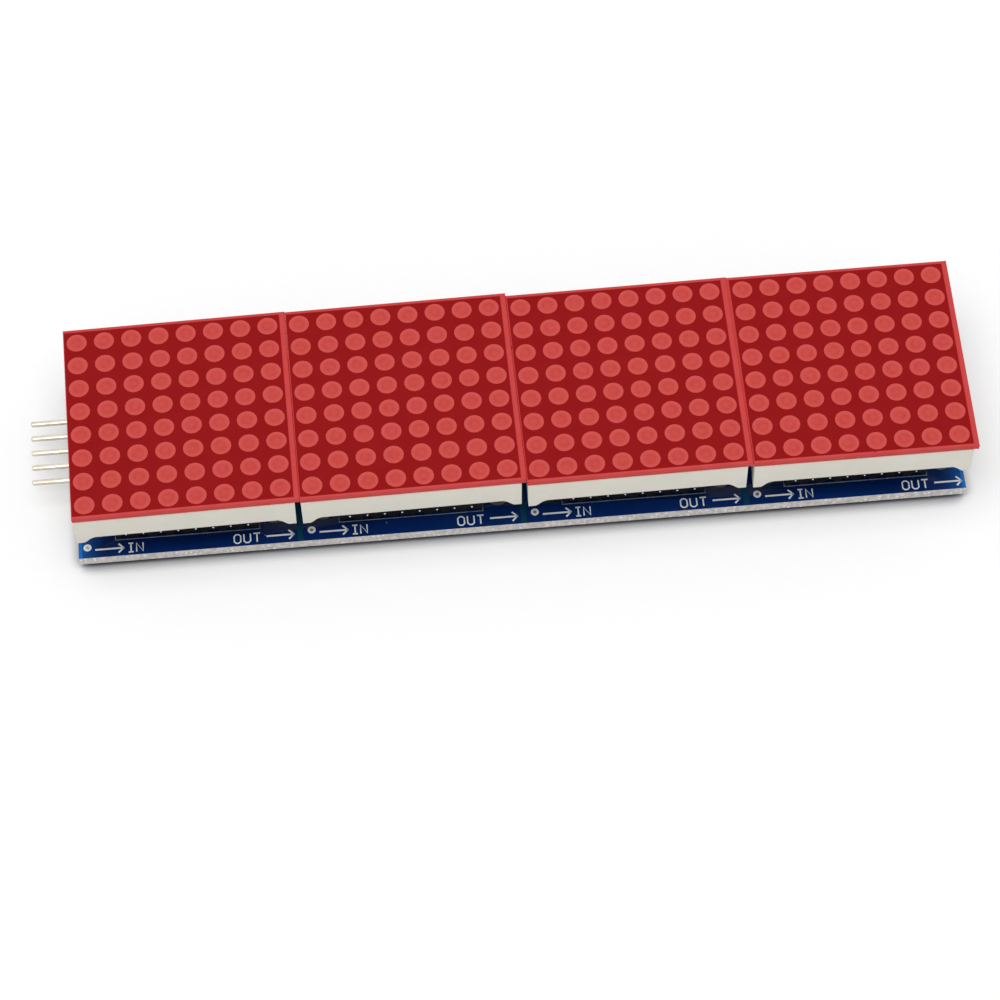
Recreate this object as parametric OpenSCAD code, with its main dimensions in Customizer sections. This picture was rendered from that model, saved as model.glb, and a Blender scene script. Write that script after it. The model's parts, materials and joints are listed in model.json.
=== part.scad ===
// LED dot-matrix display: square dot matrices plugged side by side into sockets on one long board.
// Millimetres. X runs along the board, Y towards its rear edge and Z up, out of the display faces.
// The origin is the middle of the corner mounting holes, on the board's underside.

/* [Cascade] */
// Number of matrices side by side
matrix_count = 4; // [1:1:4]
// Gap between the faces of two neighbouring matrices
matrix_gap = 0.1; // [0.1:0.05:3]
// How far each matrix, left to right, sits to the right of its place, as plugged in by hand
matrix_shift_x = [0, 0, 0, 0.15]; // [-0.05:0.05:0.2]
// How far each matrix, left to right, sits to the rear of its place
matrix_shift_y = [0, 0.25, 0.05, 0.05]; // [-0.2:0.05:0.25]
// How far each matrix, left to right, is turned about its upright axis, in degrees
matrix_turn = [0.75, 0.6, 0.45, 0]; // [-0.75:0.05:0.75]

/* [Matrix face] */
// Dots along each side of a matrix
dots_per_side = 8; // [7:1:9]
// Distance between the centres of neighbouring dots
dot_pitch = 4; // [3.9:0.05:4.6]
// Diameter of a dot at the face
dot_d = 3; // [2.6:0.05:3.2]
// How far the face cover reaches past the outer dots' cells
cover_margin = 0.25; // [0:0.025:0.5]
// How far the cover's own edges sit to the right of the field of dots, as moulded
cover_shift = 0.32; // [0:0.02:0.36]
// Thickness of the face cover, rim included
cover_t = 0.95; // [0.8:0.05:2]
// Width of the raised rim round the cover, where the shift leaves it alone
rim_w = 0.44; // [0.4:0.02:0.5]
// Height of the rim above the field of dots
rim_h = 0.1; // [0.05:0.05:0.3]

/* [Matrix housing] */
// Height of the housing's walls, feet left out
body_h = 4.45; // [4.2:0.05:8]
// Thickness of the outer walls
wall_t = 1.2; // [0.8:0.05:1.6]
// How much the housing's top is narrower than the cover, on each side
side_setback = 0.4; // [0.3:0.01:0.5]
// How far the front and rear walls stand proud of the cover, at the top
front_ledge = 0.05; // [0:0.05:0.2]
// How far each wall leans inwards from its top to its feet
wall_draft = 0.05; // [0.05:0.05:0.4]
// Diameter of a light well at its floor
well_floor_d = 2.2; // [1.4:0.1:2.5]
// Length of the corner feet below the walls
foot_drop = 1.25; // [0.6:0.05:3]
// Width of a foot's sole
foot_w = 1.2; // [0.8:0.05:3]
// Run of the slope between a foot and the wall
foot_slope = 1.1; // [0.5:0.05:3]
// Thickness of the board that carries the light-emitting dies
emitter_t = 1; // [0.6:0.1:1.4]
// Thickness of the resin poured in behind that board
potting_t = 0.6; // [0.3:0.05:1]
// Side of a light-emitting die
die_w = 0.36; // [0.2:0.02:0.5]
// Height of a light-emitting die
die_h = 0.2; // [0.1:0.05:0.4]

/* [Matrix pins and sockets] */
// Distance between neighbouring pins, of the matrices and of the header
pin_pitch = 2.54; // [2.3:0.02:2.6]
// Distance between a matrix's two rows of pins
pin_row_spacing = 24; // [22:0.1:25]
// Diameter of a matrix pin
pin_d = 0.5; // [0.4:0.05:0.55]
// Height of a socket
socket_h = 6.2; // [5:0.1:9]
// Width of a socket
socket_w = 2.5; // [2.3:0.05:3]
// Extra length of a socket past its outer cells, at each end
socket_end = 0.25; // [0.1:0.05:0.5]
// Thickness of a socket's long walls
socket_wall_t = 0.3; // [0.2:0.05:0.35]
// Thickness of a socket's top over its contacts
socket_top_t = 0.6; // [0.4:0.1:1]
// Height of a socket's floor above the board
socket_floor_h = 1; // [0.8:0.1:1.4]
// Width of the notches along a socket's lower edge
notch_w = 1.4; // [1:0.1:1.8]
// Height of those notches
notch_h = 0.5; // [0.4:0.05:0.6]
// Thickness of a contact's sheet
contact_t = 0.2; // [0.1:0.05:0.25]
// Width of a contact's leaves
contact_w = 0.9; // [0.7:0.05:1]

/* [Circuit board] */
// Width of the board
board_w = 32.2; // [31:0.1:40]
// Thickness of the board
board_t = 1.6; // [0.8:0.1:2.4]
// What is cut off each end of the board's outer cells
board_end_trim = 0.4; // [0:0.1:1]
// Diameter of the mounting holes
mount_hole_d = 3.2; // [2.2:0.1:3.4]
// Distance of the mounting holes from the sides of their cell
mount_inset_x = 3.5; // [3:0.1:3.8]
// Distance of the mounting holes from the board's long edges
mount_inset_y = 5; // [4.5:0.1:6]
// Diameter of the plated holes
plated_hole_d = 1; // [0.95:0.05:1.2]

/* [Link columns and header] */
// Pins of the input header, and holes of each link column
link_pins = 5; // [3:1:6]
// Distance of a link column from the side of its cell
link_inset = 3.9; // [3.6:0.1:4.4]
// How far the link columns' middles lie behind the board's middle line
link_offset_y = 1.8; // [0:0.1:2.5]
// Side of a header pin
header_pin_w = 0.64; // [0.5:0.02:0.66]
// Length of a header pin past the header's body
header_pin_l = 5.95; // [4:0.05:9]
// Bevel at the ends of a header pin
header_pin_bevel = 0.15; // [0.05:0.05:0.2]
// Radius of the bend on a header pin's middle line
header_bend_r = 0.7; // [0.5:0.05:0.9]
// Width and height of the header's body
header_w = 2.5; // [2.2:0.1:3]
// Distance from the header's body to the middle of its legs
header_reach = 1.4; // [1.2:0.1:1.8]
// Depth of the break-off grooves between the header's cells
header_groove = 0.4; // [0.1:0.05:0.6]

/* [Driver chip and chip parts] */
// Leads along each side of a driver chip
driver_leads_per_side = 12; // [8:1:12]
// Distance between neighbouring leads
driver_lead_pitch = 1.27; // [1:0.01:1.27]
// Width of a lead
driver_lead_w = 0.42; // [0.25:0.01:0.5]
// Thickness of a lead
driver_lead_t = 0.25; // [0.15:0.05:0.3]
// Length of a lead's foot
driver_foot_l = 0.8; // [0.4:0.05:1]
// Length of a driver chip's body past its outer leads, at each end
driver_end = 0.71; // [0.5:0.01:1]
// Width of a driver chip's body
driver_w = 7.5; // [6:0.1:8.5]
// Distance over the tips of the leads
driver_span = 10.3; // [10.3:0.1:12]
// Height of a driver chip's body
driver_h = 2.35; // [1.6:0.05:2.8]
// Gap between a driver chip's body and the board
driver_standoff = 0.15; // [0.05:0.05:0.3]
// Distance of the chip parts from the side of their cell
chip_part_inset = 6.1; // [6:0.1:6.4]
// Distance of the chip parts from the board's middle line
chip_part_y = 5.5; // [4:0.1:6.5]

/* [Solder] */
// Diameter of a joint on the board
joint_d = 1.7; // [1.6:0.05:1.9]
// Height of a joint under the board
joint_h = 1.1; // [0.8:0.05:2]
// Height of a joint over the board
joint_top_h = 0.3; // [0.1:0.05:0.35]
// Diameter of a joint at its tip
joint_tip_d = 1.05; // [1:0.05:1.3]

/* [Clearances] */
// Gap round what is cast or dropped into its place
fill_gap = 0.02; // [0.01:0.01:0.05]
// Gap round the emitter board in its housing
emitter_gap = 0.1; // [0.05:0.05:0.3]
// Room round a matrix pin in its socket's mouth, for the matrix's shift and turn
pin_play = 0.4; // [0.37:0.01:0.45]
// Gap between a pin's tip and its contact's base
pin_tip_gap = 0.35; // [0.1:0.05:0.6]
// Gap round a contact's tail in its socket's floor
tail_gap = 0.05; // [0.02:0.01:0.1]

/* [Hidden] */
$fn = 48;
cut = 0.01;                   // overshoot of a cut through a face
cover_w = dots_per_side * dot_pitch + 2 * cover_margin;
cell_w = cover_w + matrix_gap;
board_l = matrix_count * cell_w - 2 * board_end_trim;
socket_l = dots_per_side * pin_pitch + 2 * socket_end;
entry_w = pin_d + 2 * pin_play;
lead_in = 0.3;                // depth and width of the cone round a socket's mouth
cavity_w = contact_w + 2 * pin_play - 0.1;
cavity_d = socket_w - 2 * socket_wall_t;
tail_w = 0.6;
tail_t = 0.3;
pin_taper = 0.2;              // length of the tapered tip of a matrix pin
pin_blunt = 0.5;              // width of that tip, as a share of the pin

// Heights, from the sockets' tops to the field of dots
seat_z = board_t + socket_h;  // sockets' tops, which the matrices' backs meet
foot_z = seat_z - foot_drop;
emitter_z = seat_z + potting_t;
well_z = emitter_z + emitter_t;
cover_z = seat_z + body_h;
field_z = cover_z + cover_t - rim_h;
contact_z = board_t + socket_floor_h;
pin_tip_z = contact_z + contact_t + pin_tip_gap;

// Width and depth of the housing at its top and at its feet, and of the pocket in its back
housing_top = [cover_w - 2 * side_setback, cover_w + 2 * front_ledge];
housing_foot = [housing_top.x - 2 * wall_draft, housing_top.y - 2 * wall_draft];
pocket = [housing_foot.x - 2 * wall_t, housing_foot.y - 2 * wall_t];

link_x = cell_w / 2 - link_inset;
mount_x = cell_w / 2 - mount_inset_x;
mount_y = board_w / 2 - mount_inset_y;
chip_part_x = cell_w / 2 - chip_part_inset;
pin_row_y = pin_row_spacing / 2;
header_z = board_t + header_w / 2;
header_face_x = header_reach + header_w;   // from the legs to the header's outer face

// Length, width and height of the chip parts, and the length of their metal ends
bypass_size = [1.25, 2, 0.85];
bulk_size = [1.6, 3.2, 1.3];
resistor_size = [1.25, 2, 0.5];
chip_end_l = 0.4;
chip_end_step = 0.03;

function numbered(name) = [for (n = [1:matrix_count]) str(name, "_", n)];

// Places

function centred(i, count, pitch) = (i - (count - 1) / 2) * pitch;
function cell_x(n) = centred(n - 1, matrix_count, cell_w);
function pin_x(i) = centred(i, dots_per_side, pin_pitch);
function turned(p, a) = [p.x * cos(a) - p.y * sin(a), p.x * sin(a) + p.y * cos(a)];
// How far matrix n's pin lies from its socket's middle, for a pin at p from the matrix's middle
function pin_offset(n, p) = turned(p, matrix_turn[n - 1]) - p
    + [matrix_shift_x[n - 1], matrix_shift_y[n - 1]];

module in_cell(n) translate([cell_x(n), 0, 0]) children();

module seated(n)
    in_cell(n)
        translate([matrix_shift_x[n - 1], matrix_shift_y[n - 1], 0])
            rotate([0, 0, matrix_turn[n - 1]]) children();

module at_dots()
    for (i = [0:dots_per_side - 1], j = [0:dots_per_side - 1])
        translate([centred(i, dots_per_side, dot_pitch), centred(j, dots_per_side, dot_pitch), 0])
            children();

module at_matrix_pins()
    for (side = [-1, 1], i = [0:dots_per_side - 1])
        translate([pin_x(i), side * pin_row_y, 0]) children();

module at_link_holes(x)
    for (i = [0:link_pins - 1])
        translate([x, link_offset_y + centred(i, link_pins, pin_pitch), 0]) children();

module at_mount_holes()
    for (x = [-mount_x, mount_x], y = [-mount_y, mount_y]) translate([x, y, 0]) children();

// Shared shapes

module block(w, d, h, z) translate([-w / 2, -d / 2, z]) cube([w, d, h]);

module profile_along_y(l) rotate([90, 0, 0]) linear_extrude(l, center = true) children();

module profile_along_x(l) rotate([90, 0, 90]) linear_extrude(l, center = true) children();

// The solid whose front view is the first child and whose side view is the second
module two_views(l)
    intersection() {
        profile_along_y(l) children(0);
        profile_along_x(l) children(1);
    }

// Circuit board

module circuit_board()
    color("#123a7c")
        difference() {
            block(board_l, board_w, board_t, 0);
            for (n = [1:matrix_count]) in_cell(n) {
                at_mount_holes() drill(mount_hole_d);
                at_matrix_pins() drill(plated_hole_d);
                for (side = [-1, 1]) at_link_holes(side * link_x) drill(plated_hole_d);
            }
        }

module drill(d) translate([0, 0, -cut]) cylinder(h = board_t + 2 * cut, d = d);

// Solder joint: a flared cone under the board, a filled hole and a low collar on top
module joint()
    rotate_extrude() polygon([
        [0, -joint_h],
        [joint_tip_d / 2, -joint_h],
        [joint_tip_d / 2 + 0.05, -joint_h / 2],
        [joint_d / 2, 0],
        [plated_hole_d / 2 - fill_gap, 0],
        [plated_hole_d / 2 - fill_gap, board_t],
        [joint_d / 2 - 0.2, board_t],
        [joint_tip_d / 2 - 0.05, board_t + joint_top_h],
        [0, board_t + joint_top_h]]);

// Input header

module input_header()
    color("#1c1c1e")
        in_cell(1)
            translate([-link_x - header_reach - header_w / 2, link_offset_y, 0])
                difference() {
                    profile_along_x(header_w) header_outline();
                    for (i = [0:link_pins - 1])
                        translate([0, centred(i, link_pins, pin_pitch), header_z])
                            cube([header_w + 2 * cut, header_pin_w, header_pin_w], center = true);
                }

// One bevelled cell for each pin, joined by the bar between the grooves
module header_outline() {
    bar_l = link_pins * pin_pitch;
    translate([-bar_l / 2, board_t + header_groove]) square([bar_l, header_w - 2 * header_groove]);
    for (i = [0:link_pins - 1])
        translate([centred(i, link_pins, pin_pitch), 0])
            polygon([
                [-pin_pitch / 2, board_t + header_groove],
                [-pin_pitch / 2 + header_groove, board_t],
                [pin_pitch / 2 - header_groove, board_t],
                [pin_pitch / 2, board_t + header_groove],
                [pin_pitch / 2, board_t + header_w - header_groove],
                [pin_pitch / 2 - header_groove, board_t + header_w],
                [-pin_pitch / 2 + header_groove, board_t + header_w],
                [-pin_pitch / 2, board_t + header_w - header_groove]]);
}

module input_pins()
    color("#d8d4c4")
        in_cell(1)
            at_link_holes(-link_x) {
                bar_l = header_face_x + header_pin_l - header_bend_r;
                translate([-header_bend_r, 0, header_z]) rotate([0, -90, 0]) pointed_bar(bar_l);
                translate([-header_bend_r, 0, header_z - header_bend_r])
                    rotate([90, 0, 0])
                        rotate_extrude(angle = 90)
                            translate([header_bend_r, 0]) square(header_pin_w, center = true);
                translate([0, 0, header_z - header_bend_r]) rotate([180, 0, 0]) {
                    pointed_bar(header_z - header_bend_r + joint_h);
                }
            }

// A square bar that rises from the origin to a bevelled tip
module pointed_bar(l)
    two_views(header_pin_w) {
        bar_outline(l);
        bar_outline(l);
    }

module bar_outline(l)
    polygon([
        [-header_pin_w / 2, 0],
        [header_pin_w / 2, 0],
        [header_pin_w / 2, l - header_pin_bevel],
        [header_pin_w / 2 - header_pin_bevel, l],
        [-header_pin_w / 2 + header_pin_bevel, l],
        [-header_pin_w / 2, l - header_pin_bevel]]);

module header_solder()
    color("#b9bcc0")
        in_cell(1)
            at_link_holes(-link_x)
                difference() {
                    joint();
                    block(header_pin_w, header_pin_w, 2 * (joint_h + board_t + joint_top_h), -2 * joint_h);
                }

// Driver chip

driver_l = (driver_leads_per_side - 1) * driver_lead_pitch + 2 * driver_end;
driver_z = board_t + driver_standoff;
driver_mid_z = driver_z + driver_h / 2;
driver_slope = 0.2;                         // how far a driver chip's sides lean in
driver_band = driver_lead_t / 2 + 0.05;     // half the height of the upright band round its middle
dimple_d = 1;                               // mark beside a driver chip's first lead
dimple_depth = 0.1;
dimple_inset = 1.4;

module driver_profile(w)
    polygon([
        [-w / 2 + driver_slope, driver_z],
        [w / 2 - driver_slope, driver_z],
        [w / 2, driver_mid_z - driver_band],
        [w / 2, driver_mid_z + driver_band],
        [w / 2 - driver_slope, driver_z + driver_h],
        [-w / 2 + driver_slope, driver_z + driver_h],
        [-w / 2, driver_mid_z + driver_band],
        [-w / 2, driver_mid_z - driver_band]]);

module driver_chip(n)
    color("#26272a")
        in_cell(n)
            difference() {
                two_views(max(driver_l, driver_w)) {
                    driver_profile(driver_l);
                    driver_profile(driver_w);
                }
                translate([-driver_l / 2 + dimple_inset, -driver_w / 2 + dimple_inset,
                           driver_z + driver_h - dimple_depth])
                    cylinder(h = dimple_depth + cut, d = dimple_d);
            }

module driver_leads(n)
    color("#c4c6c8")
        in_cell(n)
            for (side = [-1, 1], i = [0:driver_leads_per_side - 1])
                translate([centred(i, driver_leads_per_side, driver_lead_pitch), 0, 0])
                    rotate([0, 0, side < 0 ? 180 : 0])
                        profile_along_x(driver_lead_w) gull_wing();

module gull_wing() {
    shoulder = driver_w / 2 + 0.3;
    heel = driver_span / 2 - driver_foot_l;
    t = driver_lead_t;
    polygon([
        [driver_w / 2, driver_mid_z - t / 2],
        [shoulder, driver_mid_z - t / 2],
        [heel, board_t],
        [driver_span / 2, board_t],
        [driver_span / 2, board_t + t],
        [heel + t, board_t + t],
        [shoulder + t, driver_mid_z + t / 2],
        [driver_w / 2, driver_mid_z + t / 2]]);
}

// Chip parts: a body with a slightly thicker metal cap at each end

module chip_part(size)
    difference() {
        block(size.x, size.y, size.z, board_t);
        for (side = [-1, 1]) translate([side * size.x / 2, 0, 0])
            block(2 * chip_end_step, size.y - 2 * chip_end_l, size.z + 2 * cut, board_t - cut);
        block(size.x + 2 * cut, size.y - 2 * chip_end_l, chip_end_step + cut,
              board_t + size.z - chip_end_step);
        block(size.x + 2 * cut, size.y - 2 * chip_end_l, chip_end_step + cut, board_t - cut);
    }

module bypass_capacitors()
    color("#b49b7c")
        for (n = [1:matrix_count]) in_cell(n) translate([chip_part_x, chip_part_y, 0])
            chip_part(bypass_size);

module bulk_capacitors()
    color("#a98c6a")
        for (n = [1:matrix_count]) in_cell(n) translate([chip_part_x, -chip_part_y, 0])
            chip_part(bulk_size);

module set_resistors()
    color("#2b2b2d")
        for (n = [1:matrix_count]) in_cell(n) translate([-chip_part_x, chip_part_y, 0])
            chip_part(resistor_size);

// Sockets, their contacts and their solder

module socket_front(n) in_cell(n) translate([0, -pin_row_y, 0]) socket();

module socket_rear(n) in_cell(n) translate([0, pin_row_y, 0]) socket();

module socket()
    color("#1b1b1d")
        difference() {
            block(socket_l, socket_w, socket_h, board_t);
            for (i = [0:dots_per_side - 1]) translate([pin_x(i), 0, 0]) socket_cell();
        }

module socket_cell() {
    block(entry_w, entry_w, socket_top_t + 2 * cut, seat_z - socket_top_t - cut);
    translate([0, 0, seat_z - lead_in])
        cylinder(h = lead_in + cut, d1 = entry_w, d2 = entry_w + 2 * lead_in);
    block(cavity_w, cavity_d, seat_z - socket_top_t - contact_z, contact_z);
    block(tail_w + 2 * tail_gap, tail_t + 2 * tail_gap, socket_floor_h + cut, board_t);
    block(notch_w, socket_w + 2 * cut, notch_h + cut, board_t - cut);
}

module socket_contacts(n)
    color("#cfc7a8")
        in_cell(n)
            for (side = [-1, 1], i = [0:dots_per_side - 1]) {
                place = [pin_x(i), side * pin_row_y];
                translate([place.x, place.y, 0]) contact(pin_offset(n, place));
            }

// A fork whose two leaves hold the pin where it stands, on a tail that goes through the board
module contact(offset) {
    leaf_gap = pin_d + 2 * fill_gap;
    leaf_h = seat_z - socket_top_t - fill_gap - contact_z;
    block(tail_w, tail_t, joint_h + contact_z + contact_t, -joint_h);
    translate([offset.x, offset.y, 0]) {
        block(contact_w, leaf_gap + 2 * contact_t, contact_t, contact_z);
        for (side = [-1, 1]) translate([0, side * (leaf_gap + contact_t) / 2, 0])
            block(contact_w, contact_t, leaf_h, contact_z);
    }
}

module solder_joints(n)
    color("#b9bcc0")
        in_cell(n)
            at_matrix_pins()
                difference() {
                    joint();
                    block(tail_w, tail_t, 2 * (joint_h + board_t + joint_top_h), -2 * joint_h);
                }

// Matrix housing: four drafted walls on corner feet round a block of conical light wells

module housing(n)
    color("#e6e5dc")
        seated(n)
            difference() {
                two_views(max(housing_top)) {
                    housing_outline(housing_top.x, housing_foot.x);
                    housing_outline(housing_top.y, housing_foot.y);
                }
                block(pocket.x, pocket.y, well_z - foot_z + cut, foot_z - cut);
                profile_along_y(housing_top.y + cut) foot_arch(housing_foot.x);
                profile_along_x(housing_top.x + cut) foot_arch(housing_foot.y);
                at_dots() translate([0, 0, well_z - cut])
                    cylinder(h = cover_z - well_z + 2 * cut, d1 = well_floor_d, d2 = dot_d);
            }

module housing_outline(top, foot)
    polygon([
        [-foot / 2, foot_z],
        [foot / 2, foot_z],
        [top / 2, cover_z],
        [-top / 2, cover_z]]);

// What is cut away below a wall, between its two feet
module foot_arch(foot) {
    sole = foot / 2 - foot_w;
    polygon([
        [-sole, foot_z - cut],
        [sole, foot_z - cut],
        [sole, foot_z],
        [sole - foot_slope, seat_z],
        [-sole + foot_slope, seat_z],
        [-sole, foot_z]]);
}

// What the housing holds

module emitter_board(n)
    color("#c9c08c")
        seated(n)
            difference() {
                block(pocket.x - 2 * emitter_gap, pocket.y - 2 * emitter_gap, emitter_t, emitter_z);
                at_matrix_pins() pin_hole(emitter_z, emitter_t);
            }

module potting(n)
    color("#d9d6cb")
        seated(n)
            difference() {
                block(pocket.x, pocket.y, potting_t, seat_z);
                at_matrix_pins() pin_hole(seat_z, potting_t);
            }

module pin_hole(z, t)
    translate([0, 0, z - cut]) cylinder(h = t + 2 * cut, d = pin_d + 2 * fill_gap);

module led_dies(n)
    color("#e8c84a")
        seated(n) at_dots() block(die_w, die_w, die_h, well_z);

module matrix_pins(n)
    color("#cfd0d2")
        seated(n)
            at_matrix_pins() {
                translate([0, 0, pin_tip_z + pin_taper])
                    cylinder(h = well_z - fill_gap - pin_tip_z - pin_taper, d = pin_d);
                translate([0, 0, pin_tip_z])
                    cylinder(h = pin_taper, d1 = pin_d * pin_blunt, d2 = pin_d);
            }

// Resin lens: fills a light well and its window, and is hollowed for the die below it
module dot_lenses(n)
    color("#d0504e")
        seated(n)
            at_dots()
                difference() {
                    rotate_extrude() polygon([
                        [0, well_z],
                        [well_floor_d / 2 - fill_gap, well_z],
                        [dot_d / 2 - fill_gap, cover_z],
                        [dot_d / 2 - fill_gap, field_z],
                        [0, field_z]]);
                    block(die_w + 2 * fill_gap, die_w + 2 * fill_gap, die_h + fill_gap + cut, well_z - cut);
                }

module face_cover(n)
    color("#98211f")
        seated(n)
            difference() {
                translate([cover_shift, 0, 0]) block(cover_w, cover_w, cover_t, cover_z);
                block(cover_w - 2 * rim_w, cover_w - 2 * rim_w, rim_h + cut, field_z);
                at_dots() translate([0, 0, cover_z - cut]) cylinder(h = cover_t + 2 * cut, d = dot_d);
            }

circuit_board();
input_header();
input_pins();
header_solder();
bypass_capacitors();
bulk_capacitors();
set_resistors();
for (n = [1:matrix_count]) {
    driver_chip(n);
    driver_leads(n);
    socket_front(n);
    socket_rear(n);
    socket_contacts(n);
    solder_joints(n);
    housing(n);
    emitter_board(n);
    led_dies(n);
    potting(n);
    matrix_pins(n);
    dot_lenses(n);
    face_cover(n);
}
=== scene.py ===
"""Dresses a four-matrix LED display module over its CAD model, and lights and frames it.

Sizes are in millimetres, with the board's underside at z = 0, and become metres when a mesh
is finished. Each sub-assembly is a class that builds its own pieces.
"""

import json
import logging
import math
from abc import ABC, abstractmethod
from dataclasses import dataclass, field, replace
from enum import Enum
from typing import Callable, Iterable, Sequence

import bmesh
import bpy
from mathutils import Matrix, Vector

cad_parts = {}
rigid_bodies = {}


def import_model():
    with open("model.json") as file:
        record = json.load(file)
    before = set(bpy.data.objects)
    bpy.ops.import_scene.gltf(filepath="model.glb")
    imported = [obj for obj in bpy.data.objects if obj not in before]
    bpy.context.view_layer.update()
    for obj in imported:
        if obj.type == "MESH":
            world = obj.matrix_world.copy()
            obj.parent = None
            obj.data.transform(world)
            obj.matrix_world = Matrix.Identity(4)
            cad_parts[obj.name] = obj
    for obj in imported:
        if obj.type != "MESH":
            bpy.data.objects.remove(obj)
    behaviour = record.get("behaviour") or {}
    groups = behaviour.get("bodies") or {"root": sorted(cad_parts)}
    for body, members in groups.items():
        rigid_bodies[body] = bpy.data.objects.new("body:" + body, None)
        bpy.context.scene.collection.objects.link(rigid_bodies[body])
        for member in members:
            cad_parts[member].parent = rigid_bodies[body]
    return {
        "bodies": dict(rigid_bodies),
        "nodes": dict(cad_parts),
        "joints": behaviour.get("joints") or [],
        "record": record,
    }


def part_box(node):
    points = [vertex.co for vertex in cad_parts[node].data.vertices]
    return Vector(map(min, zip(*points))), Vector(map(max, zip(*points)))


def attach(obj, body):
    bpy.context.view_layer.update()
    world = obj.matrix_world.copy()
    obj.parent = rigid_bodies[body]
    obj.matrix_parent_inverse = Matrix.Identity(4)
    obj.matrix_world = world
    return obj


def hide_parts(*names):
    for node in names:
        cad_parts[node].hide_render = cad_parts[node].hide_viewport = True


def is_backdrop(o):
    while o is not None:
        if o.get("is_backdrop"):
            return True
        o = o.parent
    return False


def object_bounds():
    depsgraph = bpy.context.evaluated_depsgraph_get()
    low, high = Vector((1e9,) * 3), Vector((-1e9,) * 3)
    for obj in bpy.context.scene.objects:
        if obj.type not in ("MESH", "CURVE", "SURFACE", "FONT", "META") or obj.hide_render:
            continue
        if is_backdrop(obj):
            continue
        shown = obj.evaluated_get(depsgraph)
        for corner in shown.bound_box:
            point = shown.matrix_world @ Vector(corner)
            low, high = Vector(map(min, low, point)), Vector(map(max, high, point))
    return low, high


LOG = logging.getLogger("display")
MM = 0.001
ROOT = "root"
LIP = "lip"
MATRICES = (1, 2, 3, 4)
WHITE = (1.0, 1.0, 1.0, 1.0)

# Closer than SEAM, points are merged, or CAD_SEAM in a CAD node's copy. Closer than NEAR, they
# lie at one level or on one side. A turned shape's pole is POLE wide.
SEAM = 1e-3
CAD_SEAM = 1e-4
NEAR = 0.01
POLE = 1e-4

Colour = tuple[float, float, float]
Point = tuple[float, float]
Path = list[Point]
Profile = Sequence[Point]
Input = bpy.types.NodeSocket | float | tuple[float, ...]


class Slot(Enum):
    """Material slots of the record, one named for each piece."""

    SOLDER_MASK = "solder_mask"
    BLACK_PLASTIC = "black_plastic"
    TINNED_PIN = "tinned_pin"
    SOLDER = "solder"
    CAPACITOR = "capacitor_ceramic"
    RESISTOR = "resistor_glaze"
    CHIP_EPOXY = "chip_epoxy"
    TINNED_LEAD = "tinned_lead"
    CONTACT_METAL = "contact_metal"
    CREAM_PLASTIC = "cream_plastic"
    RED_LENS = "red_lens"
    RED_FACE = "red_face"


class Label(Enum):
    """Words printed beside the arrows on the circuit board."""

    IN = "IN"
    OUT = "OUT"


# Node trees


class Graph:
    """Adds nodes to one tree and wires them."""

    def __init__(self, tree: bpy.types.NodeTree) -> None:
        """Keeps the tree that the nodes go into."""
        self.tree = tree

    def add(self, kind: str, inputs: dict[str | int, Input] | None = None,
            **settings: object) -> bpy.types.Node:
        """Adds one node.

        Args:
            kind: the node's type name.
            inputs: a value, or another node's output, for each input by name or number.
            **settings: the node's own properties, set before its inputs.

        Returns:
            The new node.
        """
        node = self.tree.nodes.new(kind)
        for name, value in settings.items():
            setattr(node, name, value)
        for key, value in (inputs or {}).items():
            self.feed(node.inputs[key], value)
        return node

    def feed(self, socket: bpy.types.NodeSocket, value: Input) -> None:
        """Links an output to a socket, or sets the socket's value.

        Args:
            socket: the input to feed.
            value: the output or the value.
        """
        if isinstance(value, bpy.types.NodeSocket):
            self.tree.links.new(value, socket)
        else:
            socket.default_value = value

    def math(self, operation: str, *values: Input) -> bpy.types.NodeSocket:
        """Adds a Math node with those inputs and returns its output."""
        inputs = dict(enumerate(values))
        return self.add("ShaderNodeMath", inputs, operation=operation).outputs[0]

    def blend(self, factor: Input, first: Input, second: Input) -> bpy.types.NodeSocket:
        """Adds a colour Mix node and returns its colour output."""
        inputs = {0: factor, 6: first, 7: second}
        return self.add("ShaderNodeMix", inputs, data_type="RGBA").outputs[2]

    def spread(self, value: Input, low: float, high: float, to_low: float = 0.0,
               to_high: float = 1.0) -> bpy.types.NodeSocket:
        """Adds a clamped Map Range node.

        Args:
            value: the value to map.
            low: the value that maps to to_low.
            high: the value that maps to to_high.
            to_low: the output at low.
            to_high: the output at high.

        Returns:
            The node's output.
        """
        inputs = {"Value": value, "From Min": low, "From Max": high, "To Min": to_low,
                  "To Max": to_high}
        return self.add("ShaderNodeMapRange", inputs, clamp=True).outputs["Result"]

    def group(self, tree: bpy.types.NodeTree, **values: float) -> bpy.types.NodeSocket:
        """Adds a group node with those input values and returns its output."""
        return self.add("ShaderNodeGroup", values, node_tree=tree).outputs[0]

    def place(self) -> bpy.types.NodeSocket:
        """Returns the place on the piece, in Object coordinates."""
        return self.add("ShaderNodeTexCoord").outputs["Object"]


def emptied(owner: bpy.types.Material | bpy.types.World) -> Graph:
    """Gives a material or a world an empty node tree.

    Args:
        owner: the material or the world.

    Returns:
        The graph of its tree.
    """
    owner.use_nodes = True
    owner.node_tree.nodes.clear()
    return Graph(owner.node_tree)


def linear(colour: Colour) -> tuple[float, float, float, float]:
    """Turns a display colour, 0 to 255 a channel, into scene-linear values with alpha.

    Args:
        colour: the display colour.

    Returns:
        The scene-linear colour.
    """
    shares = [value / 255 for value in colour]
    return (*(share / 12.92 if share <= 0.04045 else ((share + 0.055) / 1.055) ** 2.4
              for share in shares), 1.0)


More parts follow.
